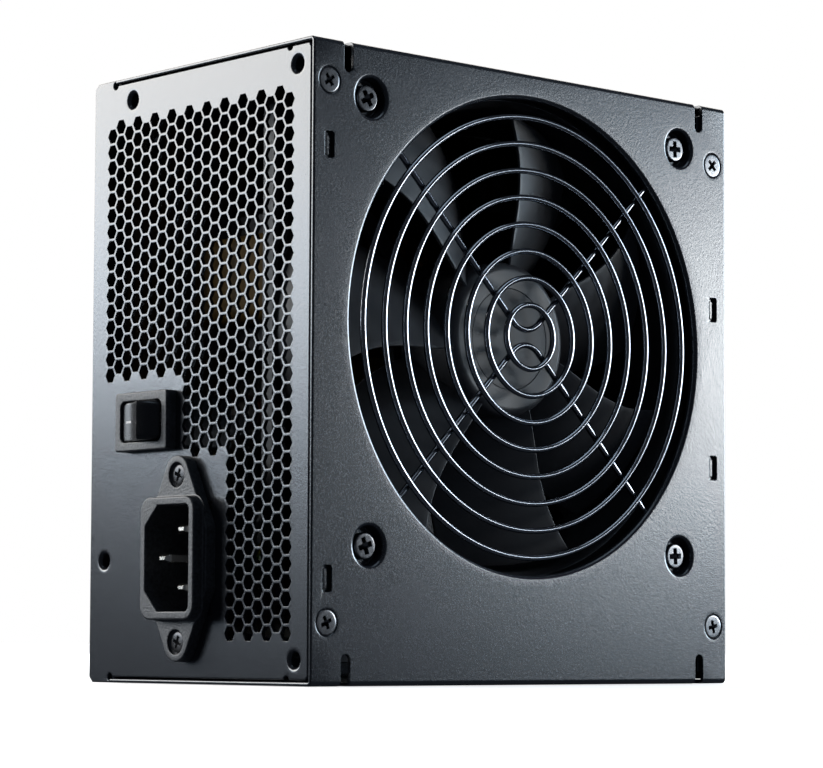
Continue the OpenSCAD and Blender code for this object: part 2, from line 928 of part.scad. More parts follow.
// Windings on the four poles
module fan_coils() {
    y0 = hub_front + 6;
    y1 = hub_back - 4;
    color(copper)
        translate([0, 0, fan_z])
            for (turn = [0 : 3])
                rotate([0, turn * 90, 0])
                    difference() {
                        block([7.6, y0 - 1, -3.1], [11.9, y1 + 1, 3.1]);
                        block([7, y0 - small, -1.6 - small], [13, y1 + small, 1.6 + small]);
                    }
}

module fan_circuit_board() {
    color([0.1, 0.3, 0.15])
        fan_ring(fan_back_y - 4.2, fan_back_y - 3 - small, tube_r + small, 15);
}

// The fan's lead: out of the motor base, over the frame and down to the board
lead_points = [
    [16, fan_back_y + 1.1, 77], [26, fan_back_y + 1.1, 70], [40, fan_back_y + 1.1, 60],
    [53, fan_back_y + 2, 52], [57.5, 0, 50], [57, 12, 50], [57, 25, 50]
];

module fan_lead() {
    color(black)
        tube(smooth(lead_points, 5), 0.95, 8, [0.3, 0.5, 1]);
}

module fan_plug() {
    color([0.85, 0.85, 0.82])
        difference() {
            block([54.4, 25.2, 47.6], [59.6, 31, 52.4]);
            block([55.4, 29, 48.6], [58.6, 32, 51.4]);
        }
}

module fan_header() {
    color([0.9, 0.9, 0.86])
        union() {
            block([53.6, 31.1, 46.8], [60.4, board_y, 53.2]);
            for (x = [-1, 1])
                block([57 + x * 1.2 - 0.3, 29.2, 49.7], [57 + x * 1.2 + 0.3, 32, 50.3]);
        }
}

// ---------- main board and what it carries ----------

module main_board() {
    color([0.55, 0.42, 0.2])
        difference() {
            block([board_x[0], board_y, board_z[0]], [board_x[1], board_y + board_t, board_z[1]]);
            for (p = standoff_at)
                along_y(p, board_y - 1, board_y + 3, 1.6);
        }
}

module board_standoffs() {
    color([0.75, 0.6, 0.3])
        for (p = standoff_at)
            difference() {
                translate([p[0], board_y + board_t, p[1]])
                    rotate([-90, 0, 0])
                        cylinder(h = far_y - sheet - board_y - board_t, r = 3, $fn = 6);
                along_y(p, board_y, far_y - sheet - 0.4, 1.5 + small);
            }
}

module board_screws() {
    color(bright)
        for (p = standoff_at)
            difference() {
                union() {
                    along_y(p, board_y - 2, board_y, 2.9);
                    along_y(p, board_y - 1, board_y + 5, 1.5);
                }
                cross_recess_y(p, board_y - 2, 3.2, 1.1);
            }
}

// A plate with a comb of fingers along its top, folded to one side
module heatsink(length, height, fold) {
    plate = 3;
    finger = 5;
    gap = 2.5;
    fingers = floor(length / (finger + gap));
    translate([-length / 2, -plate / 2, 1])
        cube([length, plate, height - 1]);
    for (i = [0 : fingers - 1])
        translate([-length / 2 + i * (finger + gap) + 1, 0, height - 2])
            mirror([0, fold < 0 ? 1 : 0, 0])
                translate([0, -plate / 2, 0])
                    cube([finger, abs(fold), 2]);
    for (x = [-1, 1])
        translate([x * (length / 2 - 6) - 1, -0.5, 0])
            cube([2, 1, 2]);
}

module primary_heatsink() {
    color([0.68, 0.72, 0.78])
        on_board(11, 54)
            heatsink(78, 41, 17);
}

module secondary_heatsink() {
    color([0.68, 0.72, 0.78])
        on_board(4, 124)
            heatsink(66, 39, 15);
}

// A plastic power package lying against a heatsink, with its legs
module power_package(w, h, t, legs) {
    translate([-w / 2, 0, 5])
        cube([w, t, h]);
    for (k = [0 : legs - 1])
        translate([(k - (legs - 1) / 2) * w / (legs + 0.5) - 0.5, t / 2 - 0.3, 0])
            cube([1, 0.6, 5.2]);
}

module power_transistors() {
    color(black)
        for (x = [-14, 6])
            on_board(x, 55.5 + small)
                power_package(15.6, 20, 4.8, 3);
}

module bridge_rectifier() {
    color(black)
        on_board(32, 55.5 + small)
            power_package(22, 18, 3.6, 4);
}

module output_rectifiers() {
    color(black)
        for (x = [-16, -2, 12, 26])
            on_board(x, 122.5 - 4.5 - small)
                power_package(10, 15, 4.5, 3);
}

// Transformer: a ferrite frame closed round a taped winding
transformer_at = [-33, 100];

module transformer_core() {
    color([0.12, 0.11, 0.12])
        on_board(transformer_at[0], transformer_at[1])
            difference() {
                translate([-8, -17, 2])
                    cube([16, 34, 42]);
                difference() {
                    translate([-9, -11.2, 8])
                        cube([18, 22.4, 30]);
                    translate([-8, -4.5, 7])
                        cube([16, 9, 32]);
                }
            }
}

module transformer_winding() {
    color(yellow)
        on_board(transformer_at[0], transformer_at[1])
            difference() {
                union() {
                    translate([0, 0, 9.5])
                        linear_extrude(height = 27)
                            round_rect([33, 22.2], 4);
                    for (z = [8 + small, 36.5 - small])
                        translate([0, 0, z])
                            linear_extrude(height = 1.5)
                                round_rect([33.6, 22.3], 3);
                }
                translate([-8 - small, -4.5 - small, 0])
                    cube([16 + 2 * small, 9 + 2 * small, 50]);
            }
}

module standby_transformer() {
    color([0.8, 0.66, 0.16])
        on_board(8, 76)
            union() {
                translate([-7, -7.5, 2])
                    cube([14, 15, 12]);
                translate([-8, -5, 0])
                    cube([16, 10, 3]);
                translate([-4, -8.5, 1])
                    cube([8, 17, 15]);
            }
}

// A toroid standing flat on the board
module toroid(r_in, r_out, low, high) {
    difference() {
        translate([0, 0, low])
            cylinder(h = high - low, r = r_out);
        translate([0, 0, low - 1])
            cylinder(h = high - low + 2, r = r_in);
    }
}

// Turns of wire laid round a toroid, as narrow blocks that hold its core
module turns(count, r_in, r_out, low, high, core) {
    difference() {
        intersection() {
            toroid(r_in, r_out, low, high);
            for (k = [0 : count - 1])
                rotate([0, 0, k * 360 / count])
                    translate([0, -0.75, 0])
                        cube([r_out + 1, 1.5, high + 1]);
        }
        toroid(core[0] - small, core[1] + small, core[2] - small, core[3] + small);
    }
}

pfc_core = [9, 14.6, 3, 15];
pfc_at = [10, 101];
choke_core = [7, 12, 3, 12];
choke_at = [43, 82];

module pfc_coil_core() {
    color([0.2, 0.22, 0.2])
        on_board(pfc_at[0], pfc_at[1])
            toroid(pfc_core[0], pfc_core[1], pfc_core[2], pfc_core[3]);
}

module pfc_coil_winding() {
    color(copper)
        on_board(pfc_at[0], pfc_at[1])
            turns(24, 7.4, 16.2, 1.4, 16.6, pfc_core);
}

module output_choke_core() {
    color([0.7, 0.62, 0.2])
        on_board(choke_at[0], choke_at[1])
            toroid(choke_core[0], choke_core[1], choke_core[2], choke_core[3]);
}

module output_choke_winding() {
    color(copper)
        on_board(choke_at[0], choke_at[1])
            turns(18, 5.5, 13.5, 1.5, 13.5, choke_core);
}

// An electrolytic can with a groove near its base and a dished top
module can(r, h) {
    difference() {
        cylinder(h = h, r = r);
        translate([0, 0, 2.2])
            difference() {
                cylinder(h = 1.2, r = r + 1);
                cylinder(h = 1.2, r = r - 0.4);
            }
        translate([0, 0, h - 0.4])
            cylinder(h = 1, r = r - 1.2);
    }
}

module bulk_capacitors() {
    color([0.1, 0.1, 0.13])
        for (x = [-2, 32])
            on_board(x, 32)
                can(15, 42);
}

module output_capacitors() {
    color([0.12, 0.12, 0.14])
        for (x = [44, 56], z = [102, 113, 124])
            on_board(x, z)
                can(5, 22);
}

module emi_choke() {
    color([0.15, 0.13, 0.12])
        on_board(-36, 30)
            difference() {
                translate([-11, -13, 0])
                    cube([22, 26, 22]);
                translate([-12, -5, 6])
                    cube([24, 10, 10]);
            }
}

module x_capacitor() {
    color(yellow)
        on_board(-57, 28)
            translate([-5, -9, 0])
                cube([10, 18, 14.5]);
}

module fuse() {
    color([0.8, 0.8, 0.78])
        on_board(-57, 49)
            union() {
                translate([0, 8, 4])
                    rotate([90, 0, 0])
                        cylinder(h = 16, r = 2.5);
                for (y = [-1, 1])
                    translate([-1.6, y * 6.5 - 1, 0])
                        cube([3.2, 2, 4]);
            }
}

module control_board() {
    color([0.1, 0.28, 0.15])
        on_board(60.5, 78)
            union() {
                translate([-0.8, -17, 0])
                    cube([1.6, 34, 28]);
                translate([-2.2, -8, 12])
                    cube([1.5, 10, 8]);
            }
}

// Mains wires inside the casing
live_points = [
    [-45, inlet_y - pin_offset, inlet_z + pin_gap / 2], [-41, 3.5, 42], [-38, 10, 52], [-38, 19, 60],
    [-40, switch_y + 5, switch_z], [-44, switch_y + 5, switch_z]
];
neutral_points = [
    [-47, inlet_y - 4.55, inlet_z - pin_gap / 2], [-44, -3.5, 19.5], [-38, -2, 12], [-36, 10, 10],
    [-40, 24, 12], [-40, 35.9, 12]
];
ground_points = [
    [-45, inlet_y + 3.95, inlet_z], [-40, 10, 36], [-32, 11.2, 42], [-22, 11, 48], [-26, 22, 48.5],
    [-26, 35.9, 48.5]
];
switch_points = [
    [-44, switch_y - 5, switch_z], [-40, switch_y - 5, switch_z + 2], [-36, 18, 70], [-36, 26, 72],
    [-36, 35.9, 72]
];

module live_wire() {
    color([0.35, 0.2, 0.1])
        tube(smooth(live_points, 4), 1, 8, [0, 0.3, -1]);
}

module neutral_wire() {
    color([0.15, 0.3, 0.65])
        tube(smooth(neutral_points, 4), 1, 8, [1, 0.1, 0.2]);
}

module ground_wire() {
    color([0.35, 0.6, 0.15])
        tube(smooth(ground_points, 4), 1, 8, [0.2, 0.2, -1]);
}

module switch_wire() {
    color([0.35, 0.2, 0.1])
        tube(smooth(switch_points, 4), 1, 8, [1, 0.2, 0.3]);
}

chassis_tray();
rear_panel();
fan_cover();
cover_screws();
insulation_sheet();
cable_grommet();
inlet_housing();
inlet_pins();
inlet_earth_pin();
inlet_screws();
inlet_nuts();
switch_housing();
switch_rocker();
switch_terminals();
guard_rings();
guard_struts();
fan_frame();
fan_motor_mount();
fan_screws();
fan_rotor();
fan_label();
fan_shaft();
fan_bearing();
fan_flux_ring();
fan_magnet();
fan_stator();
fan_coils();
fan_circuit_board();
fan_retaining_clip();
fan_lead();
fan_plug();
fan_header();
main_board();
board_standoffs();
board_screws();
primary_heatsink();
secondary_heatsink();
power_transistors();
bridge_rectifier();
output_rectifiers();
transformer_core();
transformer_winding();
standby_transformer();
pfc_coil_core();
pfc_coil_winding();
output_choke_core();
output_choke_winding();
bulk_capacitors();
output_capacitors();
emi_choke();
x_capacitor();
fuse();
control_board();
live_wire();
neutral_wire();
ground_wire();
switch_wire();
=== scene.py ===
import math

import bmesh
import bpy
from mathutils import Matrix, Vector
from mathutils.geometry import delaunay_2d_cdt


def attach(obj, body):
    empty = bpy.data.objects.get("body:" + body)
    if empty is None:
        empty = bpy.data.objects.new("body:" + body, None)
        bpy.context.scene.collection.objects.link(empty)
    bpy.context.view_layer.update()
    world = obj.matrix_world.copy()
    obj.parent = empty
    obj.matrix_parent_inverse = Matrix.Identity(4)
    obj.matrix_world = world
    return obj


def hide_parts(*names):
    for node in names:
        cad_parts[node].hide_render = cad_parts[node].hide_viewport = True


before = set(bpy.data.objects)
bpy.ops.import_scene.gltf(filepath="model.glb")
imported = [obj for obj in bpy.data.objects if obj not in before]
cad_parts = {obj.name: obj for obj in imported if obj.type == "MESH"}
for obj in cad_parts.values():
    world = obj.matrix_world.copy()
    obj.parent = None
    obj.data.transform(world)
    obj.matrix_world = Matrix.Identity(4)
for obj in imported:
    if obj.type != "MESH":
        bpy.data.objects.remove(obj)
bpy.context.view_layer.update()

MM = 0.001
CASING, FAN, ROCKER = "casing", "fan", "rocker"

# Casing planes and sizes, in millimetres
REAR_X, END_X = -70.0, 70.0
FAN_Y, FAR_Y = -43.0, 43.0
CASE_Z = 150.0
SHEET = 1.0
BEND_R = 1.3
EDGE = SHEET + 0.4  # from the outside of a side wall to an end panel's edge
SEAM_Y = 34.2  # where the cover's side walls meet the tray
FLANGE_Y = FAN_Y + 1.1  # front of the flanges that the cover is screwed to
COVER_FLAT = CASE_Z / 2 - BEND_R  # half the flat of the cover's section
COVER_TURN = COVER_FLAT + BEND_R * math.pi / 2  # the same with the bend

# Fan, about an axis along Y
FAN_Z = 85.0
FAN_FRONT_Y = -37.2
FAN_BACK_Y = -12.2
HUB_FRONT_Y = -35.0
SCREW_HALF = 52.5

# Inlet and switch on the rear panel
INLET_Y, INLET_Z = 3.9, 30.0
INLET_FLANGE, INLET_DEEP = 3, 14
INLET_BODY = (20, 27)
INLET_SCREWS = (-20, 20)
SWITCH_Y, SWITCH_Z = 18.6, 63.7
SWITCH_FLANGE, SWITCH_DEEP = 3, 18
SWITCH_BODY = (18.8, 12.8)
PIVOT_X = REAR_X - 0.8

# Cable outlet on the far end
OUTLET_Y, OUTLET_Z = 16, 19


# --- meshes ---

def arc(cx, cy, r, a0, a1, steps):
    """Points of an arc between two angles in degrees, with both ends."""
    turn = [math.radians(a0 + (a1 - a0) * i / steps) for i in range(steps + 1)]
    return [(cx + r * math.cos(t), cy + r * math.sin(t)) for t in turn]


def circle(cx, cy, r, n):
    """A closed circle of n points."""
    return arc(cx, cy, r, 0, 360, n)[:-1]


def corner(before, at, after, r, steps):
    """The points of one corner of a line, rounded to a radius."""
    p, a, b = Vector(at), Vector(before), Vector(after)
    if r == 0:
        return [tuple(p)]
    u, v = (a - p).normalized(), (b - p).normalized()
    half = u.angle(v) / 2
    reach = r / math.tan(half)
    centre = p + (u + v).normalized() * r / math.sin(half)
    start, end = p + u * reach - centre, p + v * reach - centre
    swing = math.atan2(start.x * end.y - start.y * end.x, start.dot(end))
    out = []
    for k in range(steps + 1):
        t = swing * k / steps
        c, s = math.cos(t), math.sin(t)
        out.append((centre.x + start.x * c - start.y * s, centre.y + start.x * s + start.y * c))
    return out


def rounded(points, radii, steps=6):
    """A polygon, anticlockwise, with its corners rounded to one radius or to one each."""
    if not hasattr(radii, "__len__"):
        radii = [radii] * len(points)
    out = []
    for i, p in enumerate(points):
        out += corner(points[i - 1], p, points[(i + 1) % len(points)], radii[i], steps)
    return out


def box_outline(cx, cy, w, h, r, steps=6):
    """A rectangle about a centre with round corners."""
    x, y = w / 2, h / 2
    corners = [(cx - x, cy - y), (cx + x, cy - y), (cx + x, cy + y), (cx - x, cy + y)]
    return rounded(corners, r, steps)


def grown(loop, by):
    """A closed anticlockwise outline moved outwards by a distance, or inwards if it is negative."""
    n = len(loop)
    out = []
    for i in range(n):
        a, p, b = Vector(loop[i - 1]), Vector(loop[i]), Vector(loop[(i + 1) % n])
        d0, d1 = (p - a).normalized(), (b - p).normalized()
        n0, n1 = Vector((d0.y, -d0.x)), Vector((d1.y, -d1.x))
        mitre = (n0 + n1).normalized()
        out.append(tuple(p + mitre * by / max(mitre.dot(n0), 0.3)))
    return out


def rim(loop, side, depth, r, r_back=None, steps=3):
    """Levels of a wall with rounded edges, from the front plane to the back one.

    side is 1 for an outer edge and -1 for a hole. Each level is (outline, depth).
    """
    def level(radius, k):
        t = math.radians(90 * k / steps)
        return grown(loop, -side * radius * (1 - math.sin(t))), radius * (1 - math.cos(t))

    front = [level(r, k) for k in range(steps + 1)]
    back = [level(r if r_back is None else r_back, k) for k in range(steps, -1, -1)]
    return front + [(outline, depth - w) for outline, w in back]


def turned_levels(cx, cy, profile, n):
    """Levels of a round hole or boss from a profile of (radius, depth)."""
    return [(circle(cx, cy, r, n), w) for r, w in profile]


def fillet_profile(points, radii, steps=5):
    """An open profile with its inner corners rounded."""
    out = [points[0]]
    for i, r in enumerate(radii, 1):
        out += corner(*points[i - 1:i + 2], r, steps)
    return out + [points[-1]]


class Skin:
    """Collects faces in millimetres and makes one smooth object of them."""

    def __init__(self):
        self.verts = []
        self.faces = []
        self.index = {}

    def point(self, p):
        """A point's number, shared where points meet."""
        key = (round(p[0], 4), round(p[1], 4), round(p[2], 4))
        if key not in self.index:
            self.index[key] = len(self.verts)
            self.verts.append((p[0] * MM, p[1] * MM, p[2] * MM))
        return self.index[key]

    def face(self, points):
        """A face, unless its points fall together."""
        ids = [self.point(p) for p in points]
        ids = [v for i, v in enumerate(ids) if v != ids[i - 1]]
        if len(set(ids)) == len(ids) and len(ids) > 2:
            self.faces.append(ids)

    def rows(self, rows):
        """Quads between closed rows of points, each row as long as the next."""
        for a, b in zip(rows, rows[1:]):
            for i in range(len(a)):
                j = (i + 1) % len(a)
                self.face([a[i], a[j], b[j], b[i]])

    def walls(self, levels, place):
        """Strips through levels of (outline, depth)."""
        self.rows([[place(u, v, w) for u, v in loop] for loop, w in levels])

    def fill(self, outer, holes, place, w, lines=()):
        """A flat or bent region between an outline and its holes, with extra lines to bend along."""
        flat, edges = [], []
        for loop in [outer, *holes]:
            start = len(flat)
            flat += [Vector(p) for p in loop]
            edges += [(start + i, start + (i + 1) % len(loop)) for i in range(len(loop))]
        for line in lines:
            start = len(flat)
            flat += [Vector(p) for p in line]
            edges += [(start + i, start + i + 1) for i in range(len(line) - 1)]
        points, _, tris, *_ = delaunay_2d_cdt(flat, edges, [], 0, 1e-5)
        boxes = [[pick(axis) for axis in zip(*h) for pick in (min, max)] for h in holes]
        for tri in tris:
            x, y = centre = sum((points[i] for i in tri), Vector((0, 0))) / 3
            close = [h for h, (x0, x1, y0, y1) in zip(holes, boxes) if x0 <= x <= x1 and y0 <= y <= y1]
            if not within(centre, outer) or any(within(centre, h) for h in close):
                continue
            self.face([place(points[i].x, points[i].y, w) for i in tri])

    def plate(self, outer, holes, place, lines=()):
        """A sheet. outer and each hole are levels from its front face to its back."""
        for end in (0, -1):
            self.fill(outer[end][0], [h[end][0] for h in holes], place, outer[end][1], lines)
        for levels in (outer, *holes):
            self.walls(levels, place)

    def lathe(self, profile, place, n, cap=False):
        """Turns a profile of (radius, station) about an axis. place takes (u, v, station)."""
        rows = [[place(u, v, w) for u, v in circle(0, 0, max(r, 1e-4), n)] for r, w in profile]
        self.rows(rows)
        if cap:
            self.face(rows[-1])

    def tube(self, path, r, n=14, closed=False):
        """A round tube along a path, kept from twisting."""
        pts = [Vector(p) for p in path]
        count = len(pts)
        normal = None
        rows = []
        for i, p in enumerate(pts):
            ahead = pts[(i + 1) % count] if closed or i + 1 < count else p
            behind = pts[i - 1] if closed or i else p
            t = (ahead - behind).normalized()
            if normal is None:
                normal = t.orthogonal().normalized()
            normal = (normal - t * normal.dot(t)).normalized()
            side = t.cross(normal)
            turn = [2 * math.pi * k / n for k in range(n)]
            rows.append([p + (normal * math.cos(a) + side * math.sin(a)) * r for a in turn])
        self.rows(rows + ([rows[0]] if closed else []))
        if not closed:
            self.face(rows[0])
            self.face(rows[-1])

    def build(self, name, look, slot, sharp, *nodes, body=CASING, weighted=True):
        """The finished object, its faces turned outwards."""
        mesh = bpy.data.meshes.new(name)
        mesh.from_pydata(self.verts, [], self.faces)
        bm = bmesh.new()
        bm.from_mesh(mesh)
        bmesh.ops.recalc_face_normals(bm, faces=bm.faces)
        bm.to_mesh(mesh)
        bm.free()
        finish(name, mesh, look, sharp, nodes, body, weighted)


def within(p, loop):
    """Whether a point is inside a closed outline."""
    inside = False
    x, y = p
    for i in range(len(loop)):
        (x0, y0), (x1, y1) = loop[i - 1], loop[i]
        if (y0 > y) != (y1 > y) and x < (x1 - x0) * (y - y0) / (y1 - y0) + x0:
            inside = not inside
    return inside


def finish(name, mesh, look, sharp, nodes, body, weighted=True):
    """Makes an object of a mesh, smooth but for edges above sharp degrees, and hangs it on its body."""
    mesh.shade_smooth()
    mesh.set_sharp_from_angle(angle=math.radians(sharp))
    obj = bpy.data.objects.new(name, mesh)
    bpy.context.scene.collection.objects.link(obj)
    dress(mesh, look)
    if weighted:
        mod = obj.modifiers.new("normals", "WEIGHTED_NORMAL")
        mod.keep_sharp = True
        mod.weight = 80
    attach(obj, body)
    if nodes:
        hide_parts(*nodes)


def softened(node, name, width):
    """A copy of a CAD node of the fan with its flat faces merged and its edges rounded."""
    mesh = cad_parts[node].data.copy()
    bm = bmesh.new()
    bm.from_mesh(mesh)
    bmesh.ops.remove_doubles(bm, verts=bm.verts, dist=2e-6)
    bmesh.ops.dissolve_limit(bm, angle_limit=math.radians(0.6), verts=bm.verts, edges=bm.edges)
    limit = math.radians(33)
    edges = [e for e in bm.edges if len(e.link_faces) == 2 and e.calc_face_angle(0) > limit]
    bmesh.ops.bevel(
        bm, geom=edges, offset=width * MM, segments=2, affect="EDGES", profile=0.5, clamp_overlap=True
    )
    bm.to_mesh(mesh)
    bm.free()
    finish(name, mesh, "satin", 40, (node,), CASING)


# --- materials ---

class Look:
    """A node-based material under construction, in object coordinates."""

    def __init__(self, name):
        self.mat = bpy.data.materials.new(name)
        self.mat.use_nodes = True
        self.tree = self.mat.node_tree
        self.shader = self.tree.nodes["Principled BSDF"]
        self.where = self.add("ShaderNodeTexCoord").outputs["Object"]

    def add(self, kind, **values):
        node = self.tree.nodes.new(kind)
        for key, value in values.items():
            setattr(node, key, value)
        return node

    def link(self, a, b):
        self.tree.links.new(a, b)

    def stretched(self, scale):
        """Object coordinates stretched along the axes."""
        node = self.add("ShaderNodeMapping")
        node.inputs["Scale"].default_value = scale
        self.link(self.where, node.inputs["Vector"])
        return node.outputs["Vector"]

    def noise(self, scale, detail=3.0, rough=0.55, where=None):
        """Noise whose features are about 1 / scale metres across."""
        node = self.add("ShaderNodeTexNoise")
        node.inputs["Scale"].default_value = scale
        node.inputs["Detail"].default_value = detail
        node.inputs["Roughness"].default_value = rough
        self.link(where or self.where, node.inputs["Vector"])
        return node.outputs["Fac"]

    def ranged(self, value, low, high, start=0.3, end=0.7):
        """A value spread from start..end to low..high."""
        node = self.add("ShaderNodeMapRange")
        self.link(value, node.inputs["Value"])
        for key, number in (("From Min", start), ("From Max", end), ("To Min", low), ("To Max", high)):
            node.inputs[key].default_value = number
        return node.outputs["Result"]

    def mixed(self, factor, a, b):
        """A colour between two."""
        node = self.add("ShaderNodeMix", data_type="RGBA")
        self.link(factor, node.inputs["Factor"])
        for key, colour in (("A", a), ("B", b)):
            socket = [s for s in node.inputs if s.name == key and s.type == "RGBA"][0]
            if isinstance(colour, tuple):
                socket.default_value = (*colour, 1)
            else:
                self.link(colour, socket)
        return [s for s in node.outputs if s.type == "RGBA"][0]

    def bump(self, height, depth, under=None):
        """Relief of a depth in millimetres."""
        node = self.add("ShaderNodeBump")
        node.inputs["Distance"].default_value = depth * MM
        self.link(height, node.inputs["Height"])
        if under:
            self.link(under, node.inputs["Normal"])
        return node.outputs["Normal"]

    def set(self, **sockets):
        for key, value in sockets.items():
            socket = self.shader.inputs[key.replace("_", " ")]
            if isinstance(value, tuple):
                socket.default_value = (*value, 1)
            elif isinstance(value, (int, float)):
                socket.default_value = value
            else:
                self.link(value, socket)


def surface(name, colour, other, rough, metal, blotch, grain, depth, spread=0.06, stretch=None):
    """A general finish: mottled colour, uneven roughness and fine relief."""
    look = Look(name)
    where = look.stretched(stretch) if stretch else look.where
    patches = look.noise(blotch, 4, where=where)
    fine = look.noise(grain, 2, where=where)
    look.set(
        Base_Color=look.mixed(look.ranged(patches, 0, 1), colour, other),
        Roughness=look.ranged(patches, rough - spread, rough + spread),
        Metallic=metal, Specular_IOR_Level=0.5, Specular_Tint=(0.86, 0.93, 1.0),
        Normal=look.bump(fine, depth),
    )
    return look.mat


def powder_coat():
    """Satin black powder coat on steel: fine orange peel under a smooth sheen."""
    look = Look("powder_coat")
    patches = look.noise(35, 4)
    peel = look.noise(1300, 2, 0.5)
    speck = look.noise(4200, 2, 0.6)
    tint = look.mixed(look.ranged(patches, 0, 1), (0.011, 0.0125, 0.0165), (0.014, 0.016, 0.021))
    look.set(
        Base_Color=look.mixed(look.ranged(speck, 0, 0.4, 0.5, 0.72), tint, (0.045, 0.052, 0.066)),
        Roughness=look.ranged(speck, 0.17, 0.23),
        Metallic=0.0, Specular_IOR_Level=0.75, Specular_Tint=(0.87, 0.93, 1.0),
        Normal=look.bump(peel, 0.018, under=look.bump(speck, 0.014)),
    )
    return look.mat


def banded(name, colour, line, direction, pitch, rough, width=0.75, metal=0.0, depth=0.05):
    """A finish wound or layered in bands, of a pitch in millimetres."""
    look = Look(name)
    wave = look.add("ShaderNodeTexWave", wave_type="BANDS", bands_direction=direction)
    wave.inputs["Scale"].default_value = math.pi / 20 / (pitch * MM)
    wave.inputs["Distortion"].default_value = 0.6
    wave.inputs["Detail Scale"].default_value = 40
    look.link(look.where, wave.inputs["Vector"])
    patches = look.noise(120, 3)
    band = look.ranged(wave.outputs["Fac"], 0, 1, 0, width)
    look.set(
        Base_Color=look.mixed(band, line, look.mixed(patches, colour, tuple(c * 0.8 for c in colour))),
        Roughness=look.ranged(patches, rough - 0.05, rough + 0.08),
        Metallic=metal, Specular_IOR_Level=0.3,
        Normal=look.bump(wave.outputs["Fac"], depth),
    )
    return look.mat


def circuit_board(name, resin, copper_tint):
    """Solder-masked board with faint tracks under the lacquer."""
    look = Look(name)
    tracks = look.add("ShaderNodeTexBrick")
    tracks.inputs["Scale"].default_value = 90
    tracks.inputs["Mortar Size"].default_value = 0.03
    look.link(look.where, tracks.inputs["Vector"])
    patches = look.noise(200, 3)
    mask = look.mixed(patches, resin, tuple(c * 0.8 for c in resin))
    look.set(
        Base_Color=look.mixed(look.ranged(tracks.outputs["Fac"], 0, 0.5, 0, 1), mask, copper_tint),
        Roughness=look.ranged(patches, 0.3, 0.45), Normal=look.bump(tracks.outputs["Fac"], 0.03),
    )
    return look.mat


# Name, colour, mottling colour, roughness, metalness, blotches and grain per metre, relief in millimetres,
# and where they differ from the usual, the spread of the roughness and the stretch along the axes
SURFACES = {
    "zinc": ("screw_zinc", (0.62, 0.63, 0.65), (0.5, 0.51, 0.53), 0.24, 1.0, 700, 5000, 0.004),
    "black_nickel": ("screw_black_nickel", (0.15, 0.155, 0.165), (0.12, 0.125, 0.135), 0.2, 1.0, 500, 4000,
        0.004, 0.03),
    "blackened": ("screw_blackened", (0.035, 0.036, 0.04), (0.06, 0.06, 0.065), 0.3, 0.6, 600, 5000, 0.006),
    "chrome": ("guard_chrome", (0.27, 0.285, 0.315), (0.22, 0.235, 0.265), 0.14, 1.0, 90, 3500, 0.002, 0.03),
    "gloss": ("fan_plastic", (0.042, 0.044, 0.05), (0.052, 0.055, 0.062), 0.43, 0, 80, 2600, 0.006, 0.05),
    "satin": ("plastic_satin", (0.012, 0.012, 0.014), (0.018, 0.018, 0.02), 0.42, 0, 150, 4000, 0.008),
    "textured": ("plastic_textured", (0.014, 0.0155, 0.019), (0.055, 0.06, 0.07), 0.44, 0, 1400, 1700, 0.09),
    "rocker": ("rocker_plastic", (0.01, 0.01, 0.012), (0.015, 0.015, 0.017), 0.25, 0, 90, 2600, 0.004),
    "mark": ("mark_white", (0.75, 0.76, 0.78), (0.66, 0.67, 0.7), 0.45, 0, 500, 4000, 0.004),
    "contact": ("contact_nickel", (0.7, 0.68, 0.62), (0.58, 0.56, 0.52), 0.22, 1.0, 500, 4000, 0.004),
    "sheet": ("insulation_film", (0.03, 0.03, 0.032), (0.05, 0.05, 0.052), 0.35, 0, 60, 1500, 0.02),
    "label": ("fan_label_film", (0.016, 0.018, 0.022), (0.028, 0.03, 0.035), 0.46, 0, 90, 2600, 0.006),
    "shaft": ("shaft_steel", (0.62, 0.63, 0.65), (0.55, 0.56, 0.58), 0.18, 1.0, 300, 4000, 0.002, 0.06, (1,
        0.1, 1)),
    "brass": ("bearing_brass", (0.65, 0.45, 0.2), (0.5, 0.36, 0.18), 0.32, 1.0, 500, 4000, 0.004),
    "ferrite": ("ferrite", (0.035, 0.034, 0.036), (0.06, 0.058, 0.06), 0.55, 0.1, 700, 3000, 0.03),
    "white": ("nylon_white", (0.5, 0.49, 0.45), (0.42, 0.41, 0.37), 0.4, 0, 300, 2500, 0.01),
    "alloy": ("heatsink_alloy", (0.08, 0.085, 0.1), (0.06, 0.065, 0.075), 0.4, 1.0, 120, 3000, 0.008, 0.06,
        (0.1, 1, 1)),
    "package": ("package_epoxy", (0.016, 0.016, 0.017), (0.028, 0.028, 0.03), 0.55, 0, 900, 4000, 0.02),
    "yellow_core": ("toroid_lacquer", (0.3, 0.2, 0.03), (0.22, 0.15, 0.03), 0.4, 0, 400, 3000, 0.02),
    "yellow": ("capacitor_case", (0.26, 0.17, 0.025), (0.2, 0.13, 0.02), 0.42, 0, 200, 2500, 0.01),
    "sleeve": ("capacitor_sleeve", (0.012, 0.014, 0.03), (0.02, 0.022, 0.04), 0.28, 0, 150, 2500, 0.006),
    "glass": ("fuse_glass", (0.6, 0.62, 0.62), (0.5, 0.52, 0.52), 0.12, 0.2, 300, 3000, 0.003),
    "wire_black": ("wire_black", (0.014, 0.014, 0.015), (0.022, 0.022, 0.024), 0.4, 0, 400, 3000, 0.008),
    "wire_brown": ("wire_brown", (0.1, 0.035, 0.015), (0.07, 0.025, 0.01), 0.4, 0, 400, 3000, 0.008),
    "wire_blue": ("wire_blue", (0.012, 0.03, 0.1), (0.01, 0.022, 0.08), 0.4, 0, 400, 3000, 0.008),
}
LOOKS = {key: surface(*row) for key, row in SURFACES.items()}
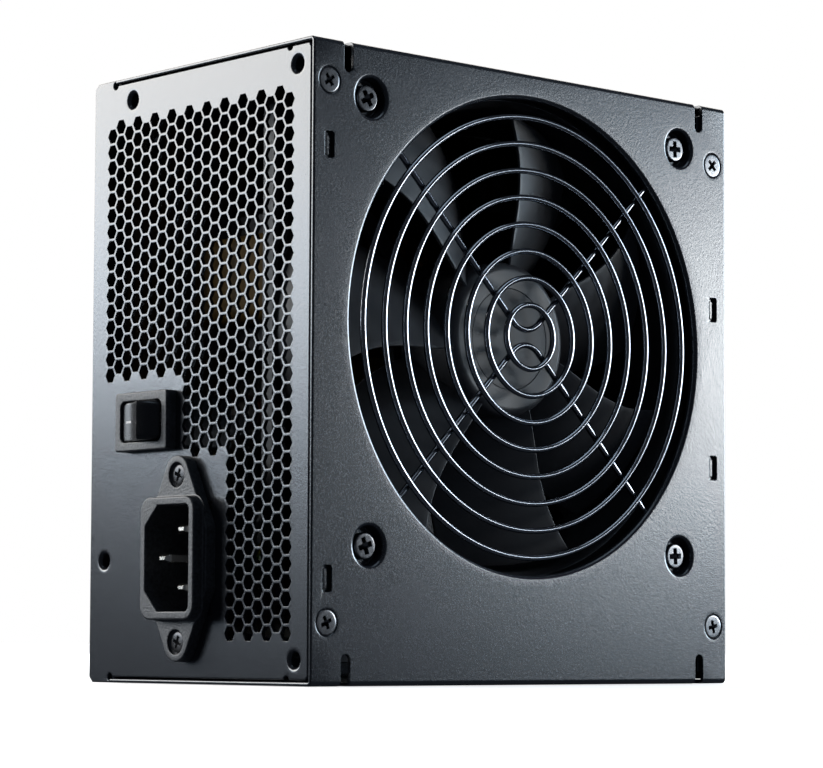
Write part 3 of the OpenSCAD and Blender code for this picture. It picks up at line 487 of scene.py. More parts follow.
LOOKS |= {
    "coat": powder_coat(),
    "core": banded("stator_laminations", (0.42, 0.43, 0.45), (0.15, 0.15, 0.16), "Y", 0.5, 0.4, metal=0.9),
    "copper": banded("copper_winding", (0.42, 0.18, 0.08), (0.14, 0.05, 0.02), "DIAGONAL", 0.9, 0.36,
        metal=0.9),
    "board": circuit_board("board_green", (0.012, 0.06, 0.022), (0.05, 0.12, 0.04)),
    "tan": circuit_board("board_tan", (0.07, 0.042, 0.018), (0.11, 0.07, 0.03)),
    # The winding tape is yellow tape painted much darker, in dark browns, as painted shade of the dim inside
    # of the case
    "tape": banded("winding_tape_painted_shade", (0.1, 0.055, 0.004), (0.05, 0.028, 0.003), "Y", 6, 0.7, width=0.2,
        depth=0.08),
    "wire_green": banded("wire_green", (0.02, 0.1, 0.015), (0.22, 0.18, 0.015), "DIAGONAL", 7, 0.4,
        width=0.6, depth=0.01),
}

# Each finish and the carried-over CAD nodes that have it
CARRIED = {
    "sheet": "insulation_sheet",
    "zinc": "inlet_nuts board_screws",
    "contact": "switch_terminals",
    "shaft": "fan_shaft",
    "brass": "fan_bearing board_standoffs",
    "core": "fan_flux_ring fan_stator",
    "ferrite": "fan_magnet transformer_core pfc_coil_core emi_choke",
    "copper": "fan_coils pfc_coil_winding output_choke_winding",
    "board": "fan_circuit_board control_board",
    "white": "fan_retaining_clip fan_plug fan_header",
    "wire_black": "fan_lead",
    "tan": "main_board",
    "alloy": "primary_heatsink secondary_heatsink",
    "package": "power_transistors bridge_rectifier output_rectifiers",
    "tape": "transformer_winding",
    "yellow": "standby_transformer x_capacitor",
    "yellow_core": "output_choke_core",
    "sleeve": "bulk_capacitors output_capacitors",
    "glass": "fuse",
    "wire_brown": "live_wire switch_wire",
    "wire_blue": "neutral_wire",
    "wire_green": "ground_wire",
}


def dress(mesh, look):
    """Gives a mesh one finish."""
    mesh.materials.clear()
    mesh.materials.append(LOOKS[look])


for look, nodes in CARRIED.items():
    for node in nodes.split():
        dress(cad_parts[node].data, look)


# --- places ---

def behind(x):
    """Places (y, z, depth) with the depth measured from a plane of constant x towards +X."""
    return lambda y, z, w: (x + w, y, z)


def under(y, x0=0, z0=0):
    """Places (x, z, depth) about a point, with the depth measured from a plane of constant y towards +Y."""
    return lambda x, z, w: (x0 + x, y + w, z0 + z)


def on_end(y, z, w):
    """Depth w behind the cable end's face."""
    return (END_X - w, y, z)


def on_cover(x, s, w):
    """Depth w into the cover, s along its section from the middle of the fan face."""
    t = abs(s)
    side = 1 if s >= 0 else -1
    if t <= COVER_FLAT:
        return (x, FAN_Y + w, CASE_Z / 2 + s)
    phi = min((t - COVER_FLAT) / BEND_R, math.pi / 2)
    run = max(t - COVER_FLAT - BEND_R * math.pi / 2, 0)
    r = BEND_R - w
    y = FAN_Y + BEND_R - r * math.cos(phi) + run
    return (x, y, CASE_Z / 2 + side * (COVER_FLAT + r * math.sin(phi)))


on_rear = behind(REAR_X)


# --- casing ---

COVER_SCREWS = [(-65.3, 140.1), (65.2, 134.5), (-65.3, 14.6), (65.2, 14.6)]
TAB_SLOTS = [(-65.2, 125), (-65.2, 24.7), (65.3, 96.7), (65.3, 55.6)]
FAN_SCREWS = [(x, FAN_Z + z) for x in (-SCREW_HALF, SCREW_HALF) for z in (-SCREW_HALF, SCREW_HALF)]
MOUNT_HOLES = [(-37, 6), (-37, 144), (27, 144), (37, 30)]
OPENING_R = 58.5
SLOT_X = (-59.5, 59.9)
CUT_ROUND = 0.14  # round on an edge cut in sheet
BEND_ROUND = 0.4  # round on an edge next to a bend


def bend_lines():
    """Stations along the cover's section where it turns."""
    steps = 8
    turns = [COVER_FLAT + BEND_R * math.pi / 2 * k / steps for k in range(steps + 1)]
    return [-s for s in turns] + turns


def edge_slot(x, side):
    """A slot over the long bend, with a point at each bend line."""
    half = 1.4
    tip, mouth = CASE_Z / 2 - 7.4, COVER_TURN + 2.5
    turns = [s for s in bend_lines() if s > 0]
    right = [(x + half, s) for s in [*turns, mouth]]
    left = [(x - half, s) for s in [mouth, *turns[::-1]]]
    loop = right + left + arc(x, tip + half, half, 180, 360, 12)
    return loop if side > 0 else [(u, -s) for u, s in loop[::-1]]


def fan_cover():
    """The fan face and two side walls, with the rolled opening, wells, countersinks and slots."""
    skin = Skin()
    turns = bend_lines()
    middle = CASE_Z / 2
    reach = COVER_TURN + SEAM_Y - 0.05 - (FAN_Y + BEND_R)
    right = [(END_X, s) for s in sorted([-reach, *turns, reach])]
    left = [(REAR_X, s) for s in sorted([-reach, *turns, reach], reverse=True)]
    outer = rim(right + left, 1, SHEET, BEND_ROUND, BEND_ROUND, 4)
    lip = fillet_profile(
        [(OPENING_R + 2.8, 0), (OPENING_R, 0.05), (OPENING_R, 1.75), (OPENING_R + 1, 1.75),
         (OPENING_R + 1, SHEET), (OPENING_R + 1.6, SHEET)], [1.1, 0.25, 0.25, 0.1], 10)
    well = fillet_profile(
        [(6.6, 0), (4.7, 0), (4.55, 3.2), (2.3, 3.2), (2.3, 4.2), (5.5, 4.2), (5.7, SHEET), (6.6, SHEET)],
        [0.9, 0.35, 0.08, 0.08, 0.9, 0.2], 8)
    sink = fillet_profile([(4.2, 0), (3.35, 0), (2.3, 0.98), (2.3, SHEET), (2.5, SHEET)], [0.35, 0, 0], 5)
    holes = [turned_levels(0, FAN_Z - middle, lip, 200)]
    holes += [turned_levels(x, z - middle, well, 56) for x, z in FAN_SCREWS]
    holes += [turned_levels(x, z - middle, sink, 44) for x, z in COVER_SCREWS]
    slots = [box_outline(x, z - middle, 2.8, 6.2, 0.6) for x, z in TAB_SLOTS]
    slots += [edge_slot(x, side) for x in SLOT_X for side in (-1, 1)]
    holes += [rim(slot, -1, SHEET, CUT_ROUND) for slot in slots]
    lines = [[(REAR_X + BEND_ROUND, s), (END_X - BEND_ROUND, s)] for s in turns]
    skin.plate(outer, holes, on_cover, lines)
    skin.build("cover", "coat", "coated_steel", 55, "fan_cover")


def end_outline(edge, relief):
    """An end panel's outline in (y, z), its edge so far inside the cover.

    A notch at each seam clears the tray's bend. relief adds a half-round one at the cover's side.
    """
    notch = 0.9
    lower = [(FLANGE_Y, edge + notch), (FLANGE_Y + notch, edge)]
    if relief:
        lower += [(-SEAM_Y - notch, edge)] + arc(-SEAM_Y, EDGE, notch, 180, 0, 8) + [(-SEAM_Y + notch, edge)]
    lower += [(SEAM_Y - notch, edge)] + arc(SEAM_Y, EDGE, notch, 180, -90, 12)
    lower += [(SEAM_Y, 0), (FAR_Y - BEND_R, 0), (FAR_Y, BEND_R)]
    lower = list(dict.fromkeys(lower))
    return lower + [(y, CASE_Z - z) for y, z in lower[::-1]]


def vent_hexagons():
    """The honeycomb of the rear panel, in columns that stop above the switch and the inlet."""
    pitch, flats = 4.0, 3.35
    first_y, top_z = -34.0, 136.0
    out = []
    for i in range(21):
        count = 32 if i < 7 else 21 if i < 12 else 16
        y = first_y + i * (pitch * math.sqrt(3) / 2)
        for k in range(count):
            z = top_z + (i % 2 - 2 * k) * pitch / 2
            out.append(circle(y, z, flats / math.sqrt(3), 6))
    return out


def cover_seat(skin, side):
    """At one end, the flange that the cover is screwed to and the tabs in its slots."""
    taps, slots = ([p for p in places if p[0] * side > 0] for places in (COVER_SCREWS, TAB_SLOTS))
    outer = rim(box_outline(side * (END_X - 5), CASE_Z / 2, 9, 144, 0.4, 3), 1, SHEET, CUT_ROUND)
    holes = [turned_levels(x, z, [(2.3, 0), (1.6, 0.6), (1.55, SHEET)], 32) for x, z in taps]
    skin.plate(outer, holes, under(FLANGE_Y))
    for x, z in slots:
        skin.plate(rim(box_outline(x, z, 1, 4.6, 0.2, 3), 1, 0.7, 0.12), [], under(FAN_Y + 0.8))


def rear_panel():
    """The rear panel with its honeycomb, drawn-in mounting holes and cut-outs."""
    skin = Skin()
    funnel = fillet_profile(
        [(3.3, 0), (2.25, 0), (1.75, 0.8), (1.75, 3.5), (2.6, 3.5), (2.6, SHEET), (3.2, SHEET)],
        [0.8, 0.3, 0.1, 0.15, 0.25], 6)
    holes = [rim(h, -1, SHEET, 0.08, steps=2) for h in vent_hexagons()]
    holes += [turned_levels(y, z, funnel, 48) for y, z in MOUNT_HOLES]
    holes.append(rim(box_outline(INLET_Y, INLET_Z, 20.3, 27.3, 0.5, 3), -1, SHEET, CUT_ROUND))
    holes.append(rim(box_outline(SWITCH_Y, SWITCH_Z, 19.2, 13, 0.5, 3), -1, SHEET, CUT_ROUND))
    holes += [rim(circle(INLET_Y, INLET_Z + z, 1.6, 24), -1, SHEET, 0.1) for z in INLET_SCREWS]
    skin.plate(rim(end_outline(EDGE, True), 1, SHEET, BEND_ROUND, CUT_ROUND, 5), holes, on_rear)
    cover_seat(skin, -1)
    skin.build("rear", "coat", "coated_steel", 55, "rear_panel")


def tray_section():
    """The tray's section in (y, z): far face, two bends and a lip stepped in under each cover side."""
    lip = SEAM_Y - 8
    bend = (FAR_Y - BEND_R, BEND_R)
    under_cover = EDGE - 0.03
    outside = [(lip, under_cover), (SEAM_Y - 0.6, under_cover), (SEAM_Y, 0.3), (SEAM_Y + 0.4, 0)]
    outside += arc(*bend, BEND_R, -90, 0, 8)
    inside = [(lip, 2 * SHEET + 0.02), (SEAM_Y + 0.4, 2 * SHEET + 0.02), (SEAM_Y + 1.4, SHEET)]
    inside += arc(*bend, BEND_R - SHEET, -90, 0, 8)
    outside += [(y, CASE_Z - z) for y, z in outside[::-1]]
    inside += [(y, CASE_Z - z) for y, z in inside[::-1]]
    return outside + inside[::-1]


def chassis_tray():
    """The far face with its bends, the cable end, and the flange and tabs."""
    skin = Skin()
    length = END_X - REAR_X - 2 * SHEET
    skin.plate(rim(tray_section(), 1, length, 0.12), [], behind(REAR_X + SHEET))
    outlet = [(13.15, 0), (13.02, 0.13), (13.02, 0.87), (13.15, SHEET)]
    hole = turned_levels(OUTLET_Y, OUTLET_Z, outlet, 96)
    skin.plate(rim(end_outline(SHEET + 0.1, False), 1, SHEET, CUT_ROUND), [hole], on_end)
    cover_seat(skin, 1)
    skin.build("tray", "coat", "coated_steel", 50, "chassis_tray")


# --- screws ---

def plus_outline(reach, arm, soft):
    """A cross with rounded corners."""
    a, r = arm / 2, reach
    pts = [(a, a), (a, r), (-a, r), (-a, a), (-r, a), (-r, -a)]
    pts += [(-x, -y) for x, y in pts]
    return rounded(pts, [soft, soft * 0.7, soft * 0.7] * 4, 3)


def screw(skin, place, head, recess, shank, turn):
    """A screw with a cross recess that narrows to its floor.

    head is its outer profile as (radius, depth) from the flat of its top. recess is the cross's reach,
    arm width and depth. shank is its radius and length. turn is the cross's angle in degrees.
    """
    reach, arm, deep = recess
    shank_r, shank_len = shank
    angle = math.radians(turn)
    ca, sa = math.cos(angle), math.sin(angle)
    cross = []    # its length and width at each depth
    for long, wide, w in ((1.05, 1.08, 0), (1, 1, 0.06), (0.88, 0.88, deep * 0.45), (0.3, 0.4, deep)):
        loop = plus_outline(reach * long, arm * wide, 0.16 * wide)
        cross.append(([(u * ca - v * sa, u * sa + v * ca) for u, v in loop], w))
    outer = turned_levels(0, 0, head, 56)
    skin.fill(outer[0][0], [cross[0][0]], place, 0)
    skin.walls(cross, place)
    skin.fill(cross[-1][0], [], place, deep)
    skin.walls(outer, place)
    neck_r, start = head[-1]
    thread_pitch, thread_deep = 0.7, 0.28
    profile = [(neck_r, start), (shank_r, start + 0.02)]
    w = start + 0.3
    while w < start + shank_len:
        profile += [(shank_r, w), (shank_r - thread_deep, w + thread_pitch / 2)]
        w += thread_pitch
    profile.append((shank_r * 0.7, start + shank_len))
    skin.lathe(profile, place, 40, cap=True)


def screw_set(name, node, look, slot, head, recess, shank, places, turns):
    """Screws of one kind as one piece."""
    skin = Skin()
    for place, turn in zip(places, turns):
        screw(skin, place, head, recess, shank, turn)
    skin.build(name, look, slot, 25, node)


def fan_screws():
    """Four cheese-head screws, sunk in the wells."""
    head = fillet_profile([(2.75, 0), (3.15, 0.03), (3.15, 1.8), (2.1, 1.8)], [0.3, 0.08], 5)
    places = [under(FAN_Y + 1.4, x, z) for x, z in FAN_SCREWS]
    screw_set("fan_screw_set", "fan_screws", "black_nickel", "screw_steel", head,
              (2.0, 1.25, 2.2), (2.08, 13), places, (18, 32, 3, 2))


def cover_screws():
    """Four countersunk screws in the fan face."""
    head = fillet_profile([(2.6, 0), (3.0, 0.02), (3.0, 0.12), (1.5, 1.65)], [0.12, 0.05], 3)
    places = [under(FAN_Y + 0.08, x, z) for x, z in COVER_SCREWS]
    screw_set("cover_screw_set", "cover_screws", "black_nickel", "screw_steel", head,
              (1.6, 0.9, 1.5), (1.48, 5.2), places, (35, 45, 25, 12))


def inlet_screws():
    """Two raised countersunk screws in the inlet's ears."""
    head = fillet_profile([(1.6, 0), (2.4, 0.12), (2.6, 0.35), (1.5, 1.3)], [0.4, 0.1], 4)
    top_x = REAR_X - 2.4
    places = [lambda u, v, w, z=z: (top_x + w, INLET_Y + u, INLET_Z + z + v) for z in INLET_SCREWS]
    screw_set("inlet_screw_set", "inlet_screws", "blackened", "black_screw", head,
              (1.5, 0.8, 0.9), (1.48, 5.9), places, (20, 20))


# --- wire guard ---

RING_Y = FAN_Y + 0.8
WIRE_R = 0.75
RING_RADII = [7.9 + 6.6 * k for k in range(8)]


def guard_rings():
    """Eight wire rings in front of the fan."""
    skin = Skin()
    for radius in RING_RADII:
        path = [(x, RING_Y, FAN_Z + z) for x, z in circle(0, 0, radius, 96 if radius < 30 else 160)]
        skin.tube(path, WIRE_R, closed=True)
    skin.build("guard_ring_set", "chrome", "guard_wire", 80, "guard_rings", weighted=False)


def eased(points, steps):
    """One smooth curve through points."""
    out = []
    last = len(points) - 1
    for i in range(last):
        a, b, c, d = (Vector(points[max(0, min(j, last))]) for j in (i - 1, i, i + 1, i + 2))
        for k in range(steps):
            t = k / steps
            out.append(0.5 * (2 * b + (c - a) * t + (2 * a - 5 * b + 4 * c - d) * t ** 2
                              + (3 * b - a - 3 * c + d) * t ** 3))
    return out + [Vector(points[-1])]


def strut_half():
    """Half of a strut wire: the middle of its bend, the diagonal, and the eye round a screw."""
    bend, offset, eye = 6.2, -0.65, 3.2
    ramp_start, ramp_long, ramp_end = 42, 6.5, 49
    front, back = RING_Y + 2 * WIRE_R, FAN_FRONT_Y - WIRE_R - 0.05
    bend_z = bend * math.sqrt(2) + offset
    path = []
    for k in range(9):
        t = math.radians(45 * k / 8)
        path.append((bend * math.sin(t), front, bend_z - bend * math.cos(t)))
    path += [(d, front, d + offset) for d in (10, 18, 26, 34, ramp_start)]
    for k in range(1, 8):
        t = k / 8
        d = ramp_start + ramp_long * t
        path.append((d, front + (back - front) * t * t * (3 - 2 * t), d + offset))
    path.append((ramp_end, back, ramp_end + offset + 0.1))
    for a in range(262, 556, 14):
        t = math.radians(a)
        path.append((SCREW_HALF + eye * math.cos(t), back, SCREW_HALF + eye * math.sin(t)))
    return path


def guard_struts():
    """Two bent wires under the rings, with eyes under the fan screws."""
    skin = Skin()
    half = strut_half()
    whole = [(-x, y, z) for x, y, z in half[:0:-1]] + half
    for side in (1, -1):
        skin.tube([(p.x, p.y, FAN_Z + side * p.z) for p in eased(whole, 3)], WIRE_R)
    skin.build("guard_strut_set", "chrome", "guard_wire", 80, "guard_struts", weighted=False)


# --- fan ---

BLADES = 7
HUB_R, HUB_WALL = 19.2, 1.5
BLADE_ROOT, BLADE_TIP = 18.6, 56


def on_axis(u, v, y):
    """A point about the fan's axis, at station y."""
    return (u, y, FAN_Z + v)


def blade_point(s, c, side, scale=1.0, past=0.0):
    """A point of a blade at s along its span and c along its chord, off its middle surface."""
    r = BLADE_ROOT + s * (BLADE_TIP - BLADE_ROOT)
    front_angle, back_angle = 87.5 - 4.5 * math.sin(math.pi * s), 40 + 15 * s ** 1.6
    front_depth, back_depth = 3.2 + s, 19 - 3 * s
    angle = math.radians(front_angle + c * (back_angle - front_angle)) - past / r
    depth = front_depth + (back_depth - front_depth) * (0.7 * c + 0.3 * c * c)
    half = (0.45 + 0.65 * math.sin(math.pi * c)) * scale
    return (r * math.cos(angle), FAN_FRONT_Y + depth + side * half, r * math.sin(angle))


def blade_section(s, scale, steps=22, nose_steps=5):
    """The closed outline of a blade at one radius, with round edges."""
    nose = 0.42 * scale
    front = [blade_point(s, k / steps, -1, scale) for k in range(steps + 1)]
    back = [blade_point(s, 1 - k / steps, 1, scale) for k in range(steps + 1)]
    out = []
    for side, row, end in ((-1, front, 1), (1, back, 0)):
        out += row
        for k in range(1, nose_steps):
            t = math.pi * k / nose_steps
            past = (1 if end else -1) * nose * math.sin(t)
            out.append(blade_point(s, end, side * math.cos(t), scale, past))
    return out


def fan_rotor():
    """The hub, with a seat for its label, and the blades."""
    skin = Skin()
    front, back, bore = HUB_FRONT_Y, FAN_BACK_Y - 3.6, 1.55
    inner_r, seat_r, seat = HUB_R - HUB_WALL, 12.6, 0.2
    profile = fillet_profile(
        [(bore, front + 0.7), (bore, front + seat), (seat_r, front + seat), (seat_r, front), (HUB_R, front),
         (HUB_R, back), (inner_r, back), (inner_r, front + HUB_WALL), (bore, front + HUB_WALL)],
        [0.1, 0.05, 0.15, 2.4, 0.4, 0.3, 0.8], 8)
    skin.lathe(profile + [profile[0]], on_axis, 128)
    stations = [(k / 26, 1.0) for k in range(26)] + [(0.991, 1.0), (0.996, 0.8), (0.9995, 0.45)]
    for blade in range(BLADES):
        turn = Matrix.Rotation(math.radians(blade * 360 / BLADES), 3, "Y")
        rows = []
        for s, scale in stations:
            rows.append([turn @ Vector(p) + Vector((0, 0, FAN_Z)) for p in blade_section(s, scale)])
        skin.rows(rows)
        for row in (rows[0], rows[-1]):
            for i in range(len(row) // 2 - 1):
                skin.face([row[i], row[i + 1], row[-i - 2], row[-i - 1]])
    skin.build("rotor", "gloss", "fan_plastic", 45, "fan_rotor", body=FAN)


def fan_label():
    """A plain round label in the hub's seat."""
    skin = Skin()
    r, thin = 12.5, 0.01
    stations = [(thin, 0.06), (r - 0.15, 0.06), (r, 0.1), (r, 0.2), (thin, 0.2)]
    skin.lathe([(radius, HUB_FRONT_Y + w) for radius, w in stations], on_axis, 96)
    skin.build("label", "label", "label_paper", 30, "fan_label", body=FAN)


# --- inlet ---

def ear_outline():
    """The inlet's flange: two round ears joined by straight sides to the wide middle."""
    half, ear, wide, flat = 20.0, 4.7, 11.6, 7.5
    reach = math.hypot(wide, half - flat)
    lean = math.degrees(math.atan2(wide, half - flat) - math.asin(ear / reach))
    top = arc(0, half, ear, lean, 180 - lean, 20)
    right = [(wide, -flat), (wide, flat), (4, half), (-4, half)]
    waist = rounded(right + [(-u, -v) for u, v in right], 1.6, 5)
    up = sorted([p for p in waist if p[0] > 9], key=lambda p: p[1])
    ring = up + top
    ring += [(-u, -v) for u, v in ring]
    return [(INLET_Y + u, INLET_Z + v) for u, v in ring]


def socket_outline():
    """The socket, cut off at its two earth-side corners."""
    y, z, key = 8.5, 12.7, 4.9
    pts = [(-y, -z), (y - key, -z), (y, -z + key), (y, z - key), (y - key, z), (-y, z)]
    return [(INLET_Y + u, INLET_Z + v) for u, v in rounded(pts, [1.4, 0.8, 0.8, 0.8, 0.8, 1.4], 5)]


def rear_shell(skin, body, depth, edge):
    """The part of a housing that reaches in through the rear panel."""
    shell = rim(body, 1, depth, edge, edge, 3)[4:]
    skin.walls([(body, 0)] + shell, on_rear)
    skin.fill(shell[-1][0], [], on_rear, depth)


def inlet_housing():
    """A keyed socket in a raised collar, on a flange with two countersunk ears."""
    skin = Skin()
    collar_x, collar_high = REAR_X - 5.9, 2.9
    deep = REAR_X + INLET_DEEP - 4 - collar_x
    sink = fillet_profile([(3.5, 0), (3.0, 0), (3.0, 0.6), (1.6, 1.9), (1.6, 3)], [0.2, 0.1, 0], 3)
    seats = [turned_levels(INLET_Y, INLET_Z + z, sink, 40) for z in INLET_SCREWS]
    collar = box_outline(INLET_Y, INLET_Z, 21, 29.4, 3.6, 8)
    foot = rim(collar, -1, collar_high, 0, 0.4, 4)[5:]
    flange = behind(REAR_X - INLET_FLANGE)
    outer = rim(ear_outline(), 1, INLET_FLANGE, 0.4, 0.1, 4)
    skin.fill(outer[0][0], [seat[0][0] for seat in seats] + [foot[-1][0]], flange, 0)
    skin.walls(outer, flange)
    for seat in seats:
        skin.walls(seat, flange)
    front = behind(collar_x)
    rise = rim(collar, 1, collar_high, 0.5, 0.01, 5)[:6]
    skin.walls(rise + foot, front)
    hollow = socket_outline()
    mouth = rim(hollow, -1, deep, 0.35, 0.01, 5)[:6]
    skin.fill(rise[0][0], [mouth[0][0]], front, 0)
    skin.walls(mouth + [(hollow, deep)], front)
    skin.fill(hollow, [], front, deep)
    body = box_outline(INLET_Y, INLET_Z, *INLET_BODY, 2, 6)
    skin.fill(outer[-1][0], [seat[-1][0] for seat in seats] + [body], flange, INLET_FLANGE)
    rear_shell(skin, body, INLET_DEEP, 0.5)
    skin.build("inlet", "textured", "textured_plastic", 50, "inlet_housing")


def pin(name, node, y, z, stand_out):
    """Contact blades at heights z, chamfered at their tips, with solder tabs behind."""
    skin = Skin()
    tip_x, back_x = REAR_X - stand_out, REAR_X + INLET_DEEP
    for h in z:
        blade = box_outline(y, h, 4, 2, 0.25, 3)
        levels = [(box_outline(y, h, 2.0, 0.75, 0.12, 3), 0), (box_outline(y, h, 2.5, 1.0, 0.2, 3), 0.12)]
        levels += [(grown(blade, -0.06), 1.1), (blade, 1.4), (blade, back_x - tip_x)]
        skin.plate(levels, [], behind(tip_x))
        skin.plate(rim(box_outline(y, h, 3, 0.8, 0.1, 2), 1, 9, 0.1), [], behind(back_x - 1))
    skin.build(name, "contact", "contact_metal", 35, node)


def inlet_pins():
    """The line and neutral blades."""
    pin("line_pins", "inlet_pins", INLET_Y - 2, (INLET_Z - 7, INLET_Z + 7), 3)


def inlet_earth_pin():
    """The earth blade, which stands further out."""
    pin("earth_pin", "inlet_earth_pin", INLET_Y + 2, (INLET_Z,), 5.5)


# --- switch ---

def switch_housing():
    """The switch's bezel and body, open for the rocker."""
    skin = Skin()
    front = behind(REAR_X - SWITCH_FLANGE)
    hole = box_outline(SWITCH_Y, SWITCH_Z, 16.4, 10, 1.6, 8)
    body = box_outline(SWITCH_Y, SWITCH_Z, *SWITCH_BODY, 0.6, 3)
    outer = rim(box_outline(SWITCH_Y, SWITCH_Z, 20.8, 14.4, 0.8, 5), 1, SWITCH_FLANGE, 0.4, 0.08, 4)
    inner = rim(hole, -1, SWITCH_DEEP, 0.3, 0.01, 4)[:5] + [(hole, SWITCH_DEEP)]
    skin.fill(outer[0][0], [inner[0][0]], front, 0)
    skin.walls(outer, front)
    skin.walls(inner, front)
    skin.fill(hole, [], front, SWITCH_DEEP)
    skin.fill(outer[-1][0], [body], front, SWITCH_FLANGE)
    rear_shell(skin, body, SWITCH_DEEP, 0.4)
    skin.build("switch_body", "textured", "textured_plastic", 50, "switch_housing")


ROCKER_R, SADDLE_R, SADDLE_LOW = 7.9, 18.0, 3.2
ROCKER_HALF, ROCKER_EDGE = 4.8, 1.6
ROCKER_LEAN = -23


def on_rocker(a, b, h):
    """A point of the rocker: a towards its face, b across it, h along the pivot, as it lies pressed in."""
    turn = math.radians(ROCKER_LEAN)
    x, y = -a, b
    return (PIVOT_X + x * math.cos(turn) - y * math.sin(turn),
            SWITCH_Y + x * math.sin(turn) + y * math.cos(turn), SWITCH_Z + h)


def rocker_outline(r, ease=0.0):
    """The rocker's profile in (a, b) where its round stock has a radius r, its face lowered by ease."""
    far = SADDLE_LOW - ease + SADDLE_R
    top = (far ** 2 + r ** 2 - SADDLE_R ** 2) / (2 * far)
    rim_b = math.sqrt(r ** 2 - top ** 2)
    half = math.degrees(math.asin(rim_b / SADDLE_R))
    saddle = arc(far, 0, SADDLE_R, 180 + half, 180 - half, 26)
    foot = math.degrees(math.acos(-3 / r))
    start = math.degrees(math.atan2(rim_b, top))
    wing = arc(0, 0, r, start, foot, 16)
    other = [(a, -b) for a, b in wing[::-1]]
    return saddle[1:-1] + wing + other


def switch_rocker():
    """The rocker, with a hollow face, on its two pivots, and the stem behind it."""
    skin = Skin()
    levels = []
    for k in range(9):
        t = math.radians(90 * k / 8)
        drop = ROCKER_EDGE * (1 - math.sin(t))
        ease = 0.3 * max(0.0, 1 - k / 3) ** 2
        levels.append((rocker_outline(ROCKER_R - drop, ease), ROCKER_EDGE * (1 - math.cos(t))))
    levels += [(loop, 2 * ROCKER_HALF - w) for loop, w in levels[::-1]]
    skin.plate(levels, [], lambda a, b, w: on_rocker(a, b, w - ROCKER_HALF))
    end = ROCKER_HALF + 0.55
    pivot = fillet_profile([(1.0, ROCKER_HALF - 0.1), (1.0, end), (0.001, end)], [0.15], 3)
    for side in (-1, 1):
        skin.lathe(pivot, lambda u, v, w, side=side: on_rocker(u, v, side * w), 24)
    stem = fillet_profile([(1.6, 2.5), (1.6, 7), (0.001, 7)], [0.5], 4)
    skin.lathe(stem, lambda u, v, w: on_rocker(-w, u, v), 32)
    skin.build("rocker", "rocker", "gloss_plastic", 50, "switch_rocker", body=ROCKER)


def saddle_point(b, h, lift):
    """A point on the rocker's hollow face, lifted off it."""
    return on_rocker(SADDLE_LOW + SADDLE_R - math.sqrt((SADDLE_R - lift) ** 2 - b * b), b, h)


def switch_marks():
    """The on and off marks printed on the rocker."""
    skin = Skin()
    thick, across = 0.05, 4.2
    bar = box_outline(across, 0, 2.6, 0.5, 0.08, 2)
    dense = []
    for i, p in enumerate(bar):
        q = Vector(bar[(i + 1) % len(bar)])
        parts = max(1, round((q - Vector(p)).length / 0.4))
        dense += [tuple(Vector(p).lerp(q, k / parts)) for k in range(parts)]
    ring, inner = (circle(-4.1, 0, r, 48) for r in (1.6, 1.15))
    place = lambda b, h, w: saddle_point(b, h, 0.03 - w)
    skin.plate([(dense, 0), (dense, thick)], [], place)
    skin.plate([(ring, 0), (ring, thick)], [[(inner, 0), (inner, thick)]], place)
    skin.build("switch_marks", "mark", "gloss_plastic", 30, body=ROCKER)


def cable_grommet():
    """The ring that lines the cable outlet, with two lips."""
    skin = Skin()
    bore, lip, groove = 11, 15, 13
    profile = fillet_profile(
        [(bore, -1.4), (lip - 0.6, -1.4), (lip, -0.02), (groove, -0.02), (groove, 1.02), (lip, 1.02),
         (lip, 2.4), (bore, 2.4), (bore, -1.4)],
        [0.5, 0.15, 0.1, 0.1, 0.15, 0.5, 0.8], 5)
    skin.lathe(profile, lambda u, v, w: on_end(OUTLET_Y + u, OUTLET_Z + v, w), 96)
    skin.build("grommet", "satin", "black_plastic", 45, "cable_grommet")


# --- scene ---

def camera():
    """The camera, low in front of the near corner."""
    yaw, pitch, roll = (math.radians(a) for a in (41.804, 3.656, 0.257))
    ahead = Vector((math.sin(yaw) * math.cos(pitch), math.cos(yaw) * math.cos(pitch), math.sin(pitch)))
    level = Vector((math.cos(yaw), -math.sin(yaw), 0))
    above = level.cross(ahead)
    right = level * math.cos(roll) + above * math.sin(roll)
    up = above * math.cos(roll) - level * math.sin(roll)
    data = bpy.data.cameras.new("camera")
    data.lens, data.sensor_width = 130.26, 36
    data.shift_y = 0.085
    data.clip_start, data.clip_end = 0.01, 100
    obj = bpy.data.objects.new("camera", data)
    obj.matrix_world = Matrix((right, up, -ahead)).transposed().to_4x4()
    obj.location = (-0.5057, -0.5644, 0.00976)
    bpy.context.scene.collection.objects.link(obj)
    bpy.context.scene.camera = obj


def softbox(name, azimuth, elevation, distance, size, radiance, colour):
    """A soft rectangular light facing the object, in a direction in degrees from -Y towards +X."""
    a, e = math.radians(azimuth), math.radians(elevation)
    away = Vector((math.sin(a) * math.cos(e), -math.cos(a) * math.cos(e), math.sin(e)))
    data = bpy.data.lights.new(name, "AREA")
    data.shape = "RECTANGLE"
    data.size, data.size_y = size
    data.energy = radiance * math.pi * size[0] * size[1]
    data.color = colour
    obj = bpy.data.objects.new(name, data)
    obj.location = Vector((0, 0, CASE_Z / 2 * MM)) + away * distance
    obj.rotation_euler = (-away).to_track_quat("-Z", "Y").to_euler()
    bpy.context.scene.collection.objects.link(obj)


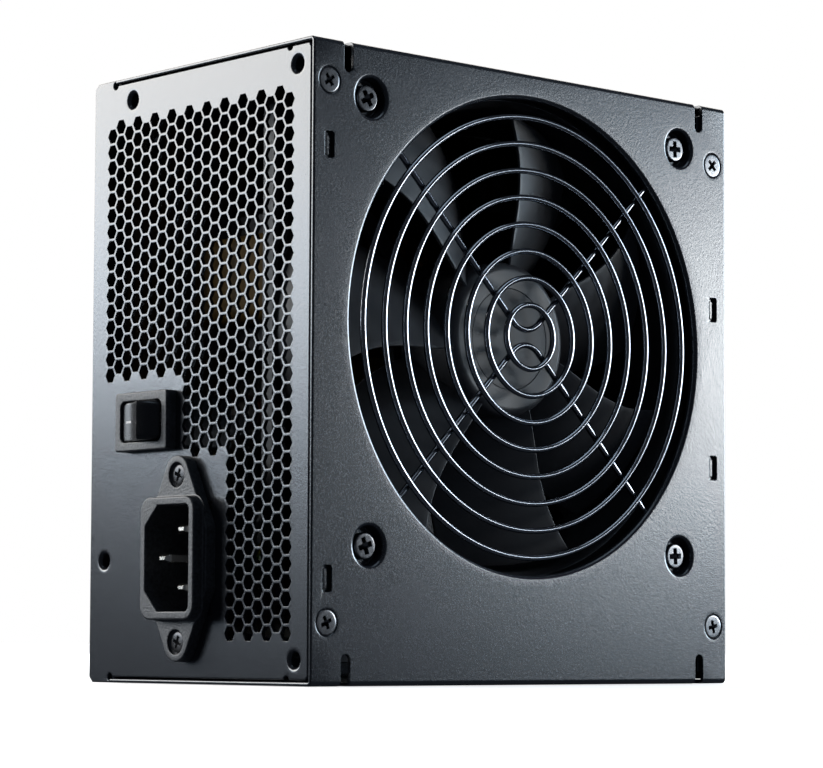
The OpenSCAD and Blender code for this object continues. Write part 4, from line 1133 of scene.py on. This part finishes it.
def surroundings():
    """White to the eye, and dim grey to whatever reflects it."""
    world = bpy.data.worlds.new("studio")
    bpy.context.scene.world = world
    world.use_nodes = True
    tree = world.node_tree
    dim = tree.nodes["Background"]
    dim.inputs["Color"].default_value = (0.044, 0.05, 0.061, 1)
    white = tree.nodes.new("ShaderNodeBackground")
    white.inputs["Color"].default_value = (1, 1, 1, 1)
    path = tree.nodes.new("ShaderNodeLightPath")
    mix = tree.nodes.new("ShaderNodeMixShader")
    tree.links.new(path.outputs["Is Camera Ray"], mix.inputs["Fac"])
    tree.links.new(dim.outputs[0], mix.inputs[1])
    tree.links.new(white.outputs[0], mix.inputs[2])
    tree.links.new(mix.outputs[0], tree.nodes["World Output"].inputs["Surface"])


def floor():
    """A pale floor that brightens into the white surroundings away from the object."""
    look = Look("floor_white")
    away = look.add("ShaderNodeVectorMath", operation="LENGTH")
    look.link(look.where, away.inputs[0])
    look.set(
        Base_Color=look.mixed(look.noise(8), (0.8, 0.8, 0.8), (0.78, 0.78, 0.79)), Roughness=0.8,
        Specular_IOR_Level=0.0, Emission_Color=(1.0, 1.0, 1.0),
        Emission_Strength=look.ranged(away.outputs["Value"], 0.72, 1.0, 0.12, 0.6),
    )
    span = 40
    corners = [(-span, -span, 0), (span, -span, 0), (span, span, 0), (-span, span, 0)]
    mesh = bpy.data.meshes.new("floor")
    mesh.from_pydata(corners, [], [(0, 1, 2, 3)])
    mesh.materials.append(look.mat)
    obj = bpy.data.objects.new("floor", mesh)
    obj.location.z = -0.0002
    bpy.context.scene.collection.objects.link(obj)
    obj.visible_glossy = False
    obj.visible_diffuse = False


def studio():
    """Soft lights: strong ones over the rear panel and beyond the cable end, weak ones round about."""
    bpy.context.scene.view_settings.view_transform = "Standard"
    surroundings()
    floor()
    warm, cool, pale = (1.0, 0.955, 0.9), (0.72, 0.87, 1.0), (0.86, 0.93, 1.0)
    # Name, azimuth and elevation, distance and size in metres, radiance, colour
    for light in (
        ("key", 217, 22.6, 2.0, (1.7, 0.94), 9.2, warm),
        ("key_low", 217, 7.1, 2.0, (1.7, 0.165), 9.0, pale),
        ("key_foot", 229, 3.2, 2.0, (0.7, 0.25), 0.9, cool),
        ("side", 54, 5.7, 2.0, (0.56, 0.24), 18.5, warm),
        ("glow", 62.5, 5.9, 2.0, (1.46, 0.55), 2.7, cool),
        ("end", 74, 9, 2.0, (1.1, 0.6), 14, cool),
        ("top", 20, 75, 1.8, (1.2, 1.2), 1.2, cool),
        ("fill", 138, 28, 2.0, (1.8, 1.2), 2.4, warm),
    ):
        softbox(*light)


def main():
    """The camera, the lights and every piece."""
    for make in (
        camera, studio, fan_cover, rear_panel, chassis_tray, fan_screws, cover_screws, inlet_screws,
        guard_rings, guard_struts, fan_rotor, fan_label, inlet_housing, inlet_pins, inlet_earth_pin,
        switch_housing, switch_rocker, switch_marks, cable_grommet,
    ):
        make()
    softened("fan_frame", "fan_body", 0.25)
    softened("fan_motor_mount", "motor_mount", 0.2)


main()
